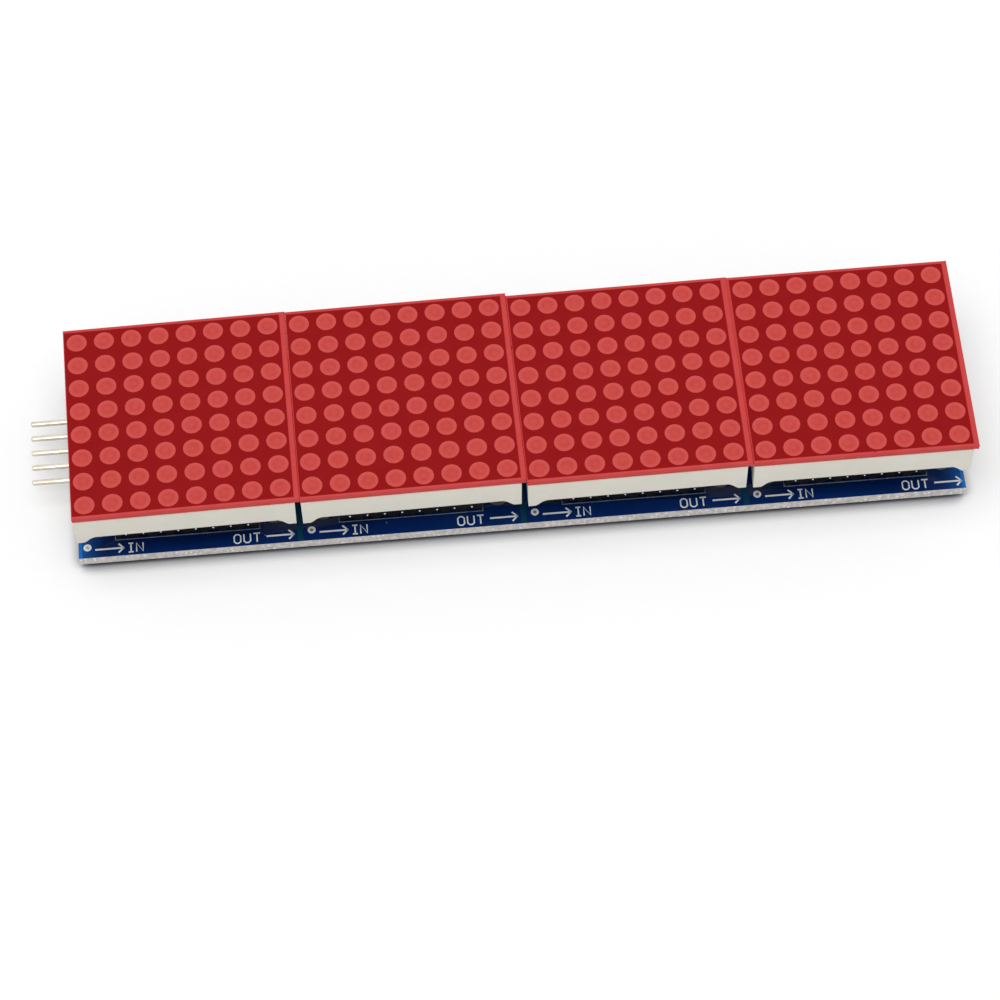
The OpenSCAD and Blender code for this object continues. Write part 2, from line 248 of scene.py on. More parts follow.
class ShaderGroups:
    """Effects that several materials share, each built once as a node group."""

    def __init__(self) -> None:
        """Builds the groups."""
        self.mottle = self._mottle()
        self.grain = self._grain()
        self.specks = self._specks()

    @staticmethod
    def _start(name: str, inputs: dict[str, float],
               output: str) -> tuple[Graph, dict, bpy.types.NodeSocket]:
        """Starts a group with number inputs and one number output.

        Args:
            name: the group's name.
            inputs: each input's name and starting value.
            output: the output's name.

        Returns:
            The group's graph, its inputs by name, and the socket that it puts out.
        """
        tree = bpy.data.node_groups.new(name, "ShaderNodeTree")
        for label, value in inputs.items():
            socket = tree.interface.new_socket(label, in_out="INPUT",
                                               socket_type="NodeSocketFloat")
            socket.default_value = value
        tree.interface.new_socket(output, in_out="OUTPUT", socket_type="NodeSocketFloat")
        graph = Graph(tree)
        given = graph.add("NodeGroupInput").outputs
        result = graph.add("NodeGroupOutput").inputs[output]
        return graph, {label: given[label] for label in inputs}, result

    def _mottle(self) -> bpy.types.NodeTree:
        """Builds soft cloudy patches, as a mask from 0 to 1.

        Returns:
            The group.
        """
        graph, given, result = self._start("Mottle", {"Scale": 300.0, "Contrast": 1.0}, "Mask")
        noise = graph.add("ShaderNodeTexNoise", {
            "Vector": graph.place(), "Scale": given["Scale"], "Detail": 4.0, "Roughness": 0.6})
        centred = graph.math("SUBTRACT", noise.outputs["Fac"], 0.5)
        stretched = graph.math("MULTIPLY", centred, given["Contrast"])
        graph.feed(result, graph.spread(stretched, -0.25, 0.25))
        return graph.tree

    def _grain(self) -> bpy.types.NodeTree:
        """Builds fine moulded grain with shallow waves, as a height from 0 to 1.

        Returns:
            The group.
        """
        graph, given, result = self._start("Moulded grain", {"Scale": 4000.0, "Waviness": 0.3},
                                           "Height")
        place = graph.place()
        fine = graph.add("ShaderNodeTexNoise", {"Vector": place, "Scale": given["Scale"],
                                                "Detail": 3.0})
        broad_scale = graph.math("MULTIPLY", given["Scale"], 0.06)
        broad = graph.add("ShaderNodeTexNoise", {"Vector": place, "Scale": broad_scale,
                                                 "Detail": 1.0})
        waves = graph.math("MULTIPLY", broad.outputs["Fac"], given["Waviness"])
        graph.feed(result, graph.math("ADD", fine.outputs["Fac"], waves))
        return graph.tree

    def _specks(self) -> bpy.types.NodeTree:
        """Builds sparse small spots, such as dust or glints, as a mask from 0 to 1.

        Returns:
            The group.
        """
        graph, given, result = self._start("Specks", {"Scale": 900.0, "Size": 0.12,
                                                      "Share": 0.3}, "Mask")
        cells = graph.add("ShaderNodeTexVoronoi", {"Vector": graph.place(),
                                                   "Scale": given["Scale"]})
        near = graph.math("LESS_THAN", cells.outputs["Distance"], given["Size"])
        pick = graph.add("ShaderNodeSeparateColor", {0: cells.outputs["Color"]})
        chosen = graph.math("LESS_THAN", pick.outputs[0], given["Share"])
        graph.feed(result, graph.math("MULTIPLY", near, chosen))
        return graph.tree


# Finishes


@dataclass(frozen=True)
class Layer(ABC):
    """A colour laid over a finish.

    Attributes:
        colour: display colour, 0 to 255 a channel.
    """

    colour: Colour

    @abstractmethod
    def mask(self, graph: Graph, groups: ShaderGroups) -> bpy.types.NodeSocket:
        """Tells how far the layer covers the finish at each place, 0 to 1.

        Args:
            graph: the material's graph.
            groups: the shared effects.

        Returns:
            The mask.
        """


@dataclass(frozen=True)
class Specks(Layer):
    """Sparse specks.

    Attributes:
        scale: how many cells there are along a metre, about.
        size: a speck's size within its cell.
        share: the share of cells that hold one.
    """

    scale: float = 900.0
    size: float = 0.1
    share: float = 0.2

    def mask(self, graph: Graph, groups: ShaderGroups) -> bpy.types.NodeSocket:
        """Covers the specks."""
        return graph.group(groups.specks, Scale=self.scale, Size=self.size, Share=self.share)


@dataclass(frozen=True)
class Lip(Layer):
    """A colour that the mesh's lip attribute brings in."""

    def mask(self, graph: Graph, groups: ShaderGroups) -> bpy.types.NodeSocket:
        """Covers as much as the attribute says."""
        return graph.add("ShaderNodeAttribute", attribute_name=LIP).outputs["Fac"]


@dataclass(frozen=True)
class EndLight(Layer):
    """A painted light: a lighter colour that grows towards the two ends of a long piece.

    Attributes:
        half: half the piece's length, in metres.
        reach: how far from an end the colour starts, in metres.
        fall: the power by which it fades.
    """

    half: float = 0.0648
    reach: float = 0.004
    fall: float = 1.6

    def mask(self, graph: Graph, groups: ShaderGroups) -> bpy.types.NodeSocket:
        """Covers the ends with the painted light.

        Args:
            graph: the material's graph.
            groups: the shared effects.

        Returns:
            The mask.
        """
        along = graph.add("ShaderNodeSeparateXYZ", {0: graph.place()}).outputs["X"]
        share = graph.spread(graph.math("ABSOLUTE", along), self.half - self.reach, self.half)
        return graph.math("POWER", share, self.fall)


@dataclass(frozen=True)
class Finish:
    """A moulded, cast, plated or printed surface.

    Attributes:
        name: the material's name.
        colour: display colour, 0 to 255 a channel.
        shade: the colour that cloudy patches drift towards.
        drift: how far they drift, 0 to 1.
        patch: scale of the patches.
        rough: lowest and highest roughness, across the patches.
        metallic: 1 for bare metal.
        gloss: the shader's specular level.
        grain: scale of the fine relief.
        relief: depth of that relief, in metres.
        coat: weight of a clear coat.
        scatter: weight of the light that spreads under the surface.
        layers: what lies over the patches, from the bottom up.
    """

    name: str
    colour: Colour
    shade: Colour
    drift: float = 0.5
    patch: float = 300.0
    rough: tuple[float, float] = (0.4, 0.55)
    metallic: float = 0.0
    gloss: float = 0.3
    grain: float = 4000.0
    relief: float = 0.00001
    coat: float = 0.0
    scatter: float = 0.0
    layers: tuple[Layer, ...] = ()

    def material(self, groups: ShaderGroups) -> bpy.types.Material:
        """Builds the material.

        Args:
            groups: the shared effects.

        Returns:
            The new material.
        """
        material = bpy.data.materials.new(self.name)
        graph = emptied(material)
        mask = graph.group(groups.mottle, Scale=self.patch)
        colour = graph.blend(graph.math("MULTIPLY", mask, self.drift), linear(self.colour),
                             linear(self.shade))
        for layer in self.layers:
            colour = graph.blend(layer.mask(graph, groups), colour, linear(layer.colour))
        height = graph.group(groups.grain, Scale=self.grain)
        bump = graph.add("ShaderNodeBump", {"Height": height, "Distance": self.relief,
                                            "Strength": 1.0})
        shader = graph.add("ShaderNodeBsdfPrincipled", {
            "Base Color": colour,
            "Roughness": graph.spread(mask, 0.0, 1.0, *self.rough),
            "Metallic": self.metallic,
            "Specular IOR Level": self.gloss,
            "Coat Weight": self.coat,
            "Coat Roughness": 0.15,
            "Subsurface Weight": self.scatter,
            "Subsurface Scale": 0.0004,
            "Normal": bump.outputs["Normal"]})
        graph.add("ShaderNodeOutputMaterial", {"Surface": shader.outputs["BSDF"]})
        return material


# The last layer is painted light: the mask grows brighter blue towards the board's two ends.
MASK_TOP = Finish("Blue solder mask", (2, 34, 92), (3, 46, 112), drift=0.7, patch=60,
                  rough=(0.3, 0.42), gloss=0.16, grain=1500, relief=0.000012,
                  layers=(Specks((120, 150, 190), size=0.08, share=0.12), EndLight((6, 88, 168))))
# Partly real, partly painted shade: the copper-free strip under the gaps between the housings,
# darkened to teal for the shade that falls there.
SHADED_GAP_MASK = Finish("Bare laminate mask in painted shade", (12, 66, 92), (9, 58, 88), rough=(0.3, 0.4),
                  gloss=0.16, grain=2500)
# Partly real, partly painted light: the same copper-free strip, made bright blue at the board's
# ends where the light catches it.
LIT_END_MASK = Finish("Board end mask in painted light", (10, 104, 184), (14, 120, 200),
                   rough=(0.26, 0.36), gloss=0.2, grain=2500)
CUT_LAMINATE = Finish("Cut laminate", (232, 226, 221), (176, 173, 173), drift=1.0, patch=1700,
                      rough=(0.75, 0.9), gloss=0.15, grain=6000, relief=0.00006,
                      layers=(Specks((238, 233, 226), 1500, 0.34, 0.3),))
PLATED = Finish("Tinned copper pad", (205, 206, 204), (168, 166, 158), rough=(0.22, 0.4),
                metallic=1.0, patch=1500, grain=3000, relief=0.00001)
PRINT = Finish("White board print", (244, 245, 246), (224, 229, 236), rough=(0.5, 0.65),
               gloss=0.2, grain=6000)
# Painted shade: the white print of the socket outlines, darkened to grey-blue where it lies in
# the sockets' shade.
SHADED_PRINT = Finish("Board print in painted shade", (150, 166, 182), (92, 116, 146), drift=0.9, patch=900,
                     rough=(0.5, 0.65), gloss=0.2, grain=6000)
HEADER_BLACK = Finish("Header black", (20, 20, 22), (34, 34, 37), rough=(0.34, 0.5), gloss=0.22,
                      grain=3500, relief=0.000015,
                      layers=(Specks((96, 96, 100), size=0.06, share=0.06),))
PIN_TIN = Finish("Tinned pin", (230, 223, 207), (176, 162, 138), drift=0.6, patch=700,
                 rough=(0.2, 0.34), metallic=1.0, grain=5000, relief=0.000006)
SOLDER_BRIGHT = Finish("Solder", (206, 208, 210), (164, 166, 170), patch=1200,
                       rough=(0.12, 0.34), metallic=1.0, grain=1800, relief=0.00002)
CERAMIC = Finish("Capacitor ceramic", (168, 140, 108), (142, 114, 84), patch=1800,
                 rough=(0.45, 0.6), grain=5000)
END_CAP = Finish("Tinned end cap", (208, 208, 206), (170, 170, 168), patch=2000,
                 rough=(0.25, 0.45), metallic=1.0)
GLAZE = Finish("Resistor glaze", (28, 29, 32), (44, 46, 50), patch=1500, rough=(0.2, 0.35),
               gloss=0.35, coat=0.3)
EPOXY = Finish("Chip epoxy", (38, 39, 42), (52, 53, 57), patch=1500, rough=(0.55, 0.7),
               gloss=0.25, grain=9000, relief=0.00002,
               layers=(Specks((84, 84, 88), 2600, 0.16, 0.25),))
LEAD_TIN = Finish("Chip lead", (196, 198, 200), (156, 158, 162), patch=1500,
                  rough=(0.28, 0.44), metallic=1.0)
SPRING_METAL = Finish("Contact spring", (220, 210, 176), (184, 168, 124), patch=1500,
                      rough=(0.2, 0.36), metallic=1.0)
CREAM = Finish("Cream plastic", (233, 230, 218), (222, 218, 204), drift=0.6, patch=160,
               rough=(0.42, 0.55), gloss=0.28, grain=2600, relief=0.000012, scatter=0.08,
               layers=(Specks((178, 172, 156), 700, 0.05, 0.15),))
LAMINATE = Finish("Emitter board", (196, 186, 128), (176, 164, 104), patch=1200,
                  rough=(0.5, 0.65))
DIE = Finish("Emitter die", (226, 190, 70), (196, 158, 48), patch=9000, rough=(0.25, 0.4),
             gloss=0.5)
RESIN = Finish("Potting resin", (214, 208, 190), (196, 188, 166), patch=500,
               rough=(0.18, 0.35), gloss=0.4, grain=800, relief=0.00004, scatter=0.1)
DOT_RESIN = Finish("Dot resin", (192, 61, 57), (206, 78, 73), drift=0.9, patch=850,
                   rough=(0.45, 0.6), gloss=0.1, grain=3500, layers=(Lip((211, 84, 80)),))
FIELD_INK = Finish("Dark face ink", (145, 13, 16), (153, 24, 27), drift=0.6, patch=220,
                   rough=(0.5, 0.65), gloss=0.06, grain=3800, relief=0.000008,
                   layers=(Specks((196, 74, 72), 420, 0.035, 0.12),))
FILM_EDGE = Finish("Face film edge", (206, 71, 70), (196, 60, 59), drift=0.7, patch=420,
                   rough=(0.35, 0.5), gloss=0.12, grain=2400,
                   layers=(Specks((150, 34, 34), 300, 0.05, 0.18),))


class Finishes:
    """Builds each finish's material the first time that a piece asks for it."""

    def __init__(self) -> None:
        """Builds the shared effects and an empty shelf."""
        self.groups = ShaderGroups()
        self._made: dict[str, bpy.types.Material] = {}

    def get(self, finish: Finish) -> bpy.types.Material:
        """Gives a finish's material.

        Args:
            finish: the finish.

        Returns:
            Its one material.
        """
        if finish.name not in self._made:
            self._made[finish.name] = finish.material(self.groups)
        return self._made[finish.name]


# Meshes


def linked(name: str, data: bpy.types.ID) -> bpy.types.Object:
    """Makes an object of some data and links it to the scene.

    Args:
        name: the object's name.
        data: its mesh, curve, lamp or camera.

    Returns:
        The object.
    """
    thing = bpy.data.objects.new(name, data)
    bpy.context.scene.collection.objects.link(thing)
    return thing


def box_mm(name: str) -> tuple[Vector, Vector]:
    """Gives a CAD node's lowest and highest corner in millimetres."""
    low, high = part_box(name)
    return low / MM, high / MM


def oblong(half_x: float, half_y: float) -> Path:
    """Gives a rectangle's corners round the origin, counter-clockwise."""
    return [(-half_x, -half_y), (half_x, -half_y), (half_x, half_y), (-half_x, half_y)]


def circle(radius: float, z: float, count: int, centre: Point = (0.0, 0.0)) -> list[Vector]:
    """Gives the points of a level circle.

    Args:
        radius: its radius.
        z: its level.
        count: how many points it has.
        centre: its centre.

    Returns:
        The points, counter-clockwise from +x.
    """
    angles = [math.tau * i / count for i in range(count)]
    return [Vector((centre[0] + radius * math.cos(a), centre[1] + radius * math.sin(a), z))
            for a in angles]


def stack(rings: Sequence[Sequence[Vector]], close_first: bool = False,
          close_last: bool = False) -> bmesh.types.BMesh:
    """Joins rings of the same number of points into a skin.

    Args:
        rings: the rings, each in the same order round.
        close_first: whether the first ring gets a face.
        close_last: whether the last ring gets a face.

    Returns:
        A new mesh.
    """
    mesh = bmesh.new()
    loops = [[mesh.verts.new(point) for point in ring] for ring in rings]
    count = len(loops[0])
    for lower, upper in zip(loops, loops[1:]):
        for i in range(count):
            j = (i + 1) % count
            mesh.faces.new((lower[i], lower[j], upper[j], upper[i]))
    if close_first:
        mesh.faces.new(loops[0])
    if close_last:
        mesh.faces.new(loops[-1])
    return mesh


def block(rings: Sequence[Sequence[Vector]]) -> bmesh.types.BMesh:
    """Joins rings into a closed skin whose faces point outwards.

    Args:
        rings: the rings, each in the same order round.

    Returns:
        A new mesh.
    """
    mesh = stack(rings, True, True)
    bmesh.ops.recalc_face_normals(mesh, faces=mesh.faces)
    return mesh


def lathe(profile: Profile, count: int) -> bmesh.types.BMesh:
    """Turns a profile of (radius, z) points about the z axis.

    Args:
        profile: the points, from one end of the axis to the other. An end at radius 0 is
            closed by a pole.
        count: how many sides the turned shape has.

    Returns:
        A new mesh.
    """
    mesh = stack([circle(max(r, POLE), z, count) for r, z in profile],
                 profile[0][0] < POLE, profile[-1][0] < POLE)
    bmesh.ops.recalc_face_normals(mesh, faces=mesh.faces)
    return mesh


def joined(parts: Iterable[bmesh.types.BMesh]) -> bmesh.types.BMesh:
    """Joins meshes into a new one and frees them.

    Args:
        parts: the meshes.

    Returns:
        The new mesh.
    """
    whole = bmesh.new()
    data = bpy.data.meshes.new("part")
    for part in parts:
        part.to_mesh(data)
        part.free()
        whole.from_mesh(data)
    bpy.data.meshes.remove(data)
    return whole


def sealed(mesh: bmesh.types.BMesh) -> bmesh.types.BMesh:
    """Merges a mesh's seams and points its faces outwards.

    Args:
        mesh: the mesh, which is changed.

    Returns:
        The same mesh.
    """
    bmesh.ops.remove_doubles(mesh, verts=mesh.verts, dist=SEAM)
    bmesh.ops.recalc_face_normals(mesh, faces=mesh.faces)
    return mesh


def soften(mesh: bmesh.types.BMesh, width: float, steps: int,
           chosen: Callable[[bmesh.types.BMEdge], bool] = lambda edge: True) -> None:
    """Rounds a mesh's outer edges.

    Args:
        mesh: the mesh, which is changed.
        width: how far from the edge the rounding starts.
        steps: how many faces it has.
        chosen: picks the edges, among those that stand out and are sharp.
    """
    sharp = math.radians(30)
    edges = [edge for edge in mesh.edges
             if len(edge.link_faces) == 2 and edge.is_convex
             and edge.calc_face_angle(0.0) > sharp and chosen(edge)]
    bmesh.ops.bevel(mesh, geom=edges, offset=width, offset_type="OFFSET", segments=steps,
                    profile=0.5, affect="EDGES", clamp_overlap=True)


def shade(data: bpy.types.Mesh, smooth: float | None) -> None:
    """Shades a mesh smooth or flat.

    Args:
        data: the mesh, which is changed.
        smooth: the angle in degrees above which edges stay sharp, or None for flat faces.
    """
    data.polygons.foreach_set("use_smooth", [smooth is not None] * len(data.polygons))
    if smooth is not None:
        data.set_sharp_from_angle(angle=math.radians(smooth))
    data.update()


def finished(mesh: bmesh.types.BMesh, name: str, materials: Iterable[bpy.types.Material],
             place: Matrix | None = None, smooth: float | None = 40.0) -> bpy.types.Object:
    """Turns a mesh in millimetres into a piece in metres at the origin.

    Args:
        mesh: the mesh, which is freed.
        name: the piece's name.
        materials: its materials, in the order of the faces' numbers.
        place: where it goes, in millimetres.
        smooth: the angle in degrees above which edges stay sharp, or None for flat faces.

    Returns:
        The piece.
    """
    mesh.transform(Matrix.Scale(MM, 4) @ (place or Matrix.Identity(4)))
    data = bpy.data.meshes.new(name)
    mesh.to_mesh(data)
    mesh.free()
    for material in materials:
        data.materials.append(material)
    shade(data, smooth)
    return linked(name, data)


def mounted(piece: bpy.types.Object, slot: Slot, *nodes: str) -> None:
    """Lets a piece ride on the model and stand for the CAD nodes named.

    Args:
        piece: the piece, in its place.
        slot: the record's slot that its finish comes from; not used.
        *nodes: the CAD nodes that it replaces, if any.
    """
    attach(piece, ROOT)
    if nodes:
        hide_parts(*nodes)
    LOG.info("%s: %d faces", piece.name, len(piece.data.polygons))


# Geometry Nodes


@dataclass(frozen=True)
class Grid:
    """Rows and columns that a template is set out in.

    Attributes:
        columns: how many along x.
        rows: how many along y.
        pitch: the distance between columns and between rows.
        centre: the middle of them all.
    """

    columns: int = 1
    rows: int = 1
    pitch: Point = (1.0, 1.0)
    centre: Point = (0.0, 0.0)

    def moved(self, along: float) -> "Grid":
        """Gives the same rows and columns moved along x."""
        return replace(self, centre=(self.centre[0] + along, self.centre[1]))


class GeometryTree:
    """A Geometry Nodes tree with named inputs, whose result is real and of one material."""

    def __init__(self, name: str, inputs: dict[str, str]) -> None:
        """Starts the tree.

        Args:
            name: its name.
            inputs: each input's name and socket type, apart from the material's.
        """
        self.tree = bpy.data.node_groups.new(name, "GeometryNodeTree")
        self.keys = {}
        for label, kind in (*inputs.items(), ("Material", "NodeSocketMaterial")):
            socket = self.tree.interface.new_socket(label, in_out="INPUT", socket_type=kind)
            self.keys[label] = socket.identifier
        self.tree.interface.new_socket("Geometry", in_out="OUTPUT",
                                       socket_type="NodeSocketGeometry")
        self.graph = Graph(self.tree)
        self.given = self.graph.add("NodeGroupInput").outputs

    def end(self, shape: bpy.types.NodeSocket) -> None:
        """Makes the tree's shape real, gives it the material and puts it out.

        Args:
            shape: the shape.
        """
        real = self.graph.add("GeometryNodeRealizeInstances", {0: shape})
        dressed = self.graph.add("GeometryNodeSetMaterial", {
            "Geometry": real.outputs[0], "Material": self.given["Material"]})
        self.graph.add("NodeGroupOutput", {0: dressed.outputs[0]})

    def run(self, holder: bpy.types.Object, values: dict[str, object],
            *helpers: bpy.types.Object) -> bmesh.types.BMesh:
        """Runs the tree on an object and takes the result.

        Args:
            holder: the object, which is removed.
            values: what each input gets, by name.
            *helpers: other objects that the tree reads, which are removed too.

        Returns:
            A new mesh in millimetres.
        """
        modifier = holder.modifiers.new(self.tree.name, "NODES")
        modifier.node_group = self.tree
        for label, value in values.items():
            modifier[self.keys[label]] = value
        bpy.context.view_layer.update()
        graph = bpy.context.evaluated_depsgraph_get()
        data = bpy.data.meshes.new_from_object(holder.evaluated_get(graph))
        mesh = bmesh.new()
        mesh.from_mesh(data)
        mesh.transform(Matrix.Scale(1 / MM, 4))
        holder.modifiers.clear()
        for piece in (holder, *helpers):
            bpy.data.objects.remove(piece, do_unlink=True)
        bpy.data.meshes.remove(data)
        return mesh


class Repeater(GeometryTree):
    """Sets a template out in rows and columns."""

    def __init__(self) -> None:
        """Builds the tree."""
        super().__init__("Rows and columns", {
            "Template": "NodeSocketObject", "Columns": "NodeSocketInt", "Rows": "NodeSocketInt",
            "Column pitch": "NodeSocketFloat", "Row pitch": "NodeSocketFloat",
            "Face outward": "NodeSocketFloat", "Spin": "NodeSocketFloat",
            "Seed": "NodeSocketInt"})
        graph, given = self.graph, self.given
        size = [graph.math("MULTIPLY", graph.math("SUBTRACT", given[count], 1.0), given[pitch])
                for count, pitch in (("Columns", "Column pitch"), ("Rows", "Row pitch"))]
        points = graph.add("GeometryNodeMeshGrid", {
            "Size X": size[0], "Size Y": size[1],
            "Vertices X": given["Columns"], "Vertices Y": given["Rows"]})
        place = graph.add("ShaderNodeSeparateXYZ",
                          {0: graph.add("GeometryNodeInputPosition").outputs[0]})
        behind = graph.math("LESS_THAN", place.outputs["Y"], 0.0)
        half_turn = graph.math("MULTIPLY", graph.math("MULTIPLY", behind, math.pi),
                               given["Face outward"])
        chance = graph.add("FunctionNodeRandomValue", {"Seed": given["Seed"]},
                           data_type="FLOAT").outputs["Value"]
        turn = graph.math("ADD", half_turn, graph.math("MULTIPLY", chance, given["Spin"]))
        template = graph.add("GeometryNodeObjectInfo", {"Object": given["Template"]})
        laid = graph.add("GeometryNodeInstanceOnPoints", {
            "Points": points.outputs["Mesh"], "Instance": template.outputs["Geometry"],
            "Rotation": graph.add("ShaderNodeCombineXYZ", {"Z": turn}).outputs[0]})
        self.end(laid.outputs[0])

    def lay(self, template: bmesh.types.BMesh, grid: Grid, material: bpy.types.Material,
            outward: bool = False, spin: float = 0.0, seed: int = 0) -> bmesh.types.BMesh:
        """Sets a template out and returns the result as one mesh.

        Args:
            template: the shape to repeat, in millimetres, which is freed.
            grid: its rows and columns.
            material: the material of all of them.
            outward: whether the rows in front of the middle face the other way.
            spin: the largest random turn about z, in radians.
            seed: the random turns' seed.

        Returns:
            A new mesh in millimetres.
        """
        pattern = finished(template, "template", (material,))
        mesh = self.run(linked("holder", bpy.data.meshes.new("holder")), {
            "Template": pattern, "Columns": grid.columns, "Rows": grid.rows,
            "Column pitch": grid.pitch[0] * MM, "Row pitch": grid.pitch[1] * MM,
            "Face outward": float(outward), "Spin": spin, "Seed": seed,
            "Material": material}, pattern)
        mesh.transform(Matrix.Translation((*grid.centre, 0)))
        return mesh


class Stroker(GeometryTree):
    """Gives a pen's path the width and height of a printed line."""

    def __init__(self) -> None:
        """Builds the tree."""
        super().__init__("Printed line", {
            "Path": "NodeSocketGeometry", "Width": "NodeSocketFloat",
            "Height": "NodeSocketFloat"})
        section = self.graph.add("GeometryNodeCurvePrimitiveQuadrilateral", {
            "Width": self.given["Width"], "Height": self.given["Height"]})
        line = self.graph.add("GeometryNodeCurveToMesh", {
            "Curve": self.given["Path"], "Profile Curve": section.outputs[0],
            "Fill Caps": True})
        self.end(line.outputs[0])

    def draw(self, paths: Sequence[Path], z: float, width: float, height: float,
             material: bpy.types.Material) -> bmesh.types.BMesh:
        """Draws level paths and returns them as one mesh.

        Args:
            paths: the corners of each path, which is closed where it ends as it starts.
            z: the level of the lines' middle.
            width: the lines' width.
            height: the lines' height.
            material: the lines' material.

        Returns:
            A new mesh in millimetres.
        """
        curve = bpy.data.curves.new("pen", "CURVE")
        curve.dimensions = "3D"
        curve.twist_mode = "Z_UP"
        for path in paths:
            closed = path[0] == path[-1]
            corners = path[:-1] if closed else path
            line = curve.splines.new("POLY")
            line.points.add(len(corners) - 1)
            line.use_cyclic_u = closed
            for point, (x, y) in zip(line.points, corners):
                point.co = (x * MM, y * MM, z * MM, 1.0)
        return self.run(linked("pen", curve), {
            "Width": width * MM, "Height": height * MM, "Material": material})


# Sub-assemblies


@dataclass
class Workshop:
    """What the sub-assemblies share: the CAD nodes, the finishes and the node trees."""

    nodes: dict[str, bpy.types.Object]
    finishes: Finishes
    repeater: Repeater
    stroker: Stroker

    def dress(self, finish: Finish, *names: str) -> None:
        """Gives CAD nodes a finish in place of their plain material.

        Args:
            finish: the finish.
            *names: the nodes.
        """
        for name in names:
            materials = self.nodes[name].data.materials
            if not materials:
                materials.append(None)
            for index in range(len(materials)):
                materials[index] = self.finishes.get(finish)
            LOG.info("%s: CAD solid in %s", name, finish.name)

    def copy(self, name: str, flat: bool = True) -> bmesh.types.BMesh:
        """Copies a CAD node's mesh in millimetres.

        Args:
            name: the node.
            flat: whether its triangles are joined to flat faces.

        Returns:
            A new mesh.
        """
        mesh = bmesh.new()
        mesh.from_mesh(self.nodes[name].data)
        mesh.transform(Matrix.Scale(1 / MM, 4))
        bmesh.ops.remove_doubles(mesh, verts=mesh.verts, dist=CAD_SEAM)
        if flat:
            bmesh.ops.dissolve_limit(mesh, angle_limit=math.radians(1), verts=mesh.verts,
                                     edges=mesh.edges)
        return mesh

    def make(self, mesh: bmesh.types.BMesh, name: str, slot: Slot, finishes: Sequence[Finish],
             *nodes: str, place: Matrix | None = None, smooth: float | None = 40.0) -> None:
        """Turns a mesh in millimetres into a piece that rides on the model.

        Args:
            mesh: the mesh, which is freed.
            name: the piece's name.
            slot: the record's slot that its finish comes from.
            finishes: its finishes, in the order of the faces' numbers.
            *nodes: the CAD nodes that it replaces, if any.
            place: where it goes, in millimetres.
            smooth: the angle in degrees above which edges stay sharp, or None for flat faces.
        """
        materials = [self.finishes.get(finish) for finish in finishes]
        mounted(finished(mesh, name, materials, place, smooth), slot, *nodes)

    def lay(self, template: bmesh.types.BMesh, grid: Grid, finish: Finish,
            outward: bool = False, spin: float = 0.0, seed: int = 0) -> bmesh.types.BMesh:
        """Sets a template out in one finish, as Repeater.lay does in one material."""
        return self.repeater.lay(template, grid, self.finishes.get(finish), outward, spin, seed)

    def joints(self, name: str, node: str, profile: Profile, grid: Grid, seed: int) -> None:
        """Builds turned solder joints, each at its own random turn.

        Args:
            name: the piece's name.
            node: the CAD node that it replaces.
            profile: a joint's section, as (radius, z).
            grid: the joints' rows and columns.
            seed: the random turns' seed.
        """
        sides = 20
        mesh = self.lay(lathe(profile, sides), grid, SOLDER_BRIGHT, spin=math.tau, seed=seed)
        self.make(mesh, name, Slot.SOLDER, (SOLDER_BRIGHT,), node)


@dataclass(frozen=True)
class Placement:
    """Where a square part lies: its centre and its turn about z, in millimetres and radians."""

    x: float
    y: float
    turn: float

    @classmethod
    def of_square(cls, node: bpy.types.Object) -> "Placement":
        """Reads the placement of a square CAD node from its outermost corner.

        Args:
            node: a node whose plan is a square, turned by less than an eighth of a turn.

        Returns:
            Its placement.
        """
        low, high = box_mm(node.name)
        x, y = (low.x + high.x) / 2, (low.y + high.y) / 2
        corner = max((v.co / MM for v in node.data.vertices), key=lambda point: point.x)
        quarter = math.pi / 2
        turn = (math.atan2(corner.y - y, corner.x - x) + quarter / 2) % quarter
        return cls(x, y, turn - quarter if turn > quarter / 2 else turn)

    def moved(self, along: float) -> "Placement":
        """Gives the placement moved along the part's own x axis, in millimetres."""
        return Placement(self.x + along * math.cos(self.turn),
                         self.y + along * math.sin(self.turn), self.turn)

    def matrix(self) -> Matrix:
        """Gives the transform from the part's own frame, in millimetres."""
        return Matrix.Translation((self.x, self.y, 0)) @ Matrix.Rotation(self.turn, 4, "Z")


@dataclass(frozen=True)
class Rectangle:
    """A level rectangle round the middle of a matrix's dots.

    Attributes:
        half: half its sizes.
        z: its level.
        shift: how far its middle lies to the right of the dots' middle.
    """

    half: Point
    z: float
    shift: float = 0.0


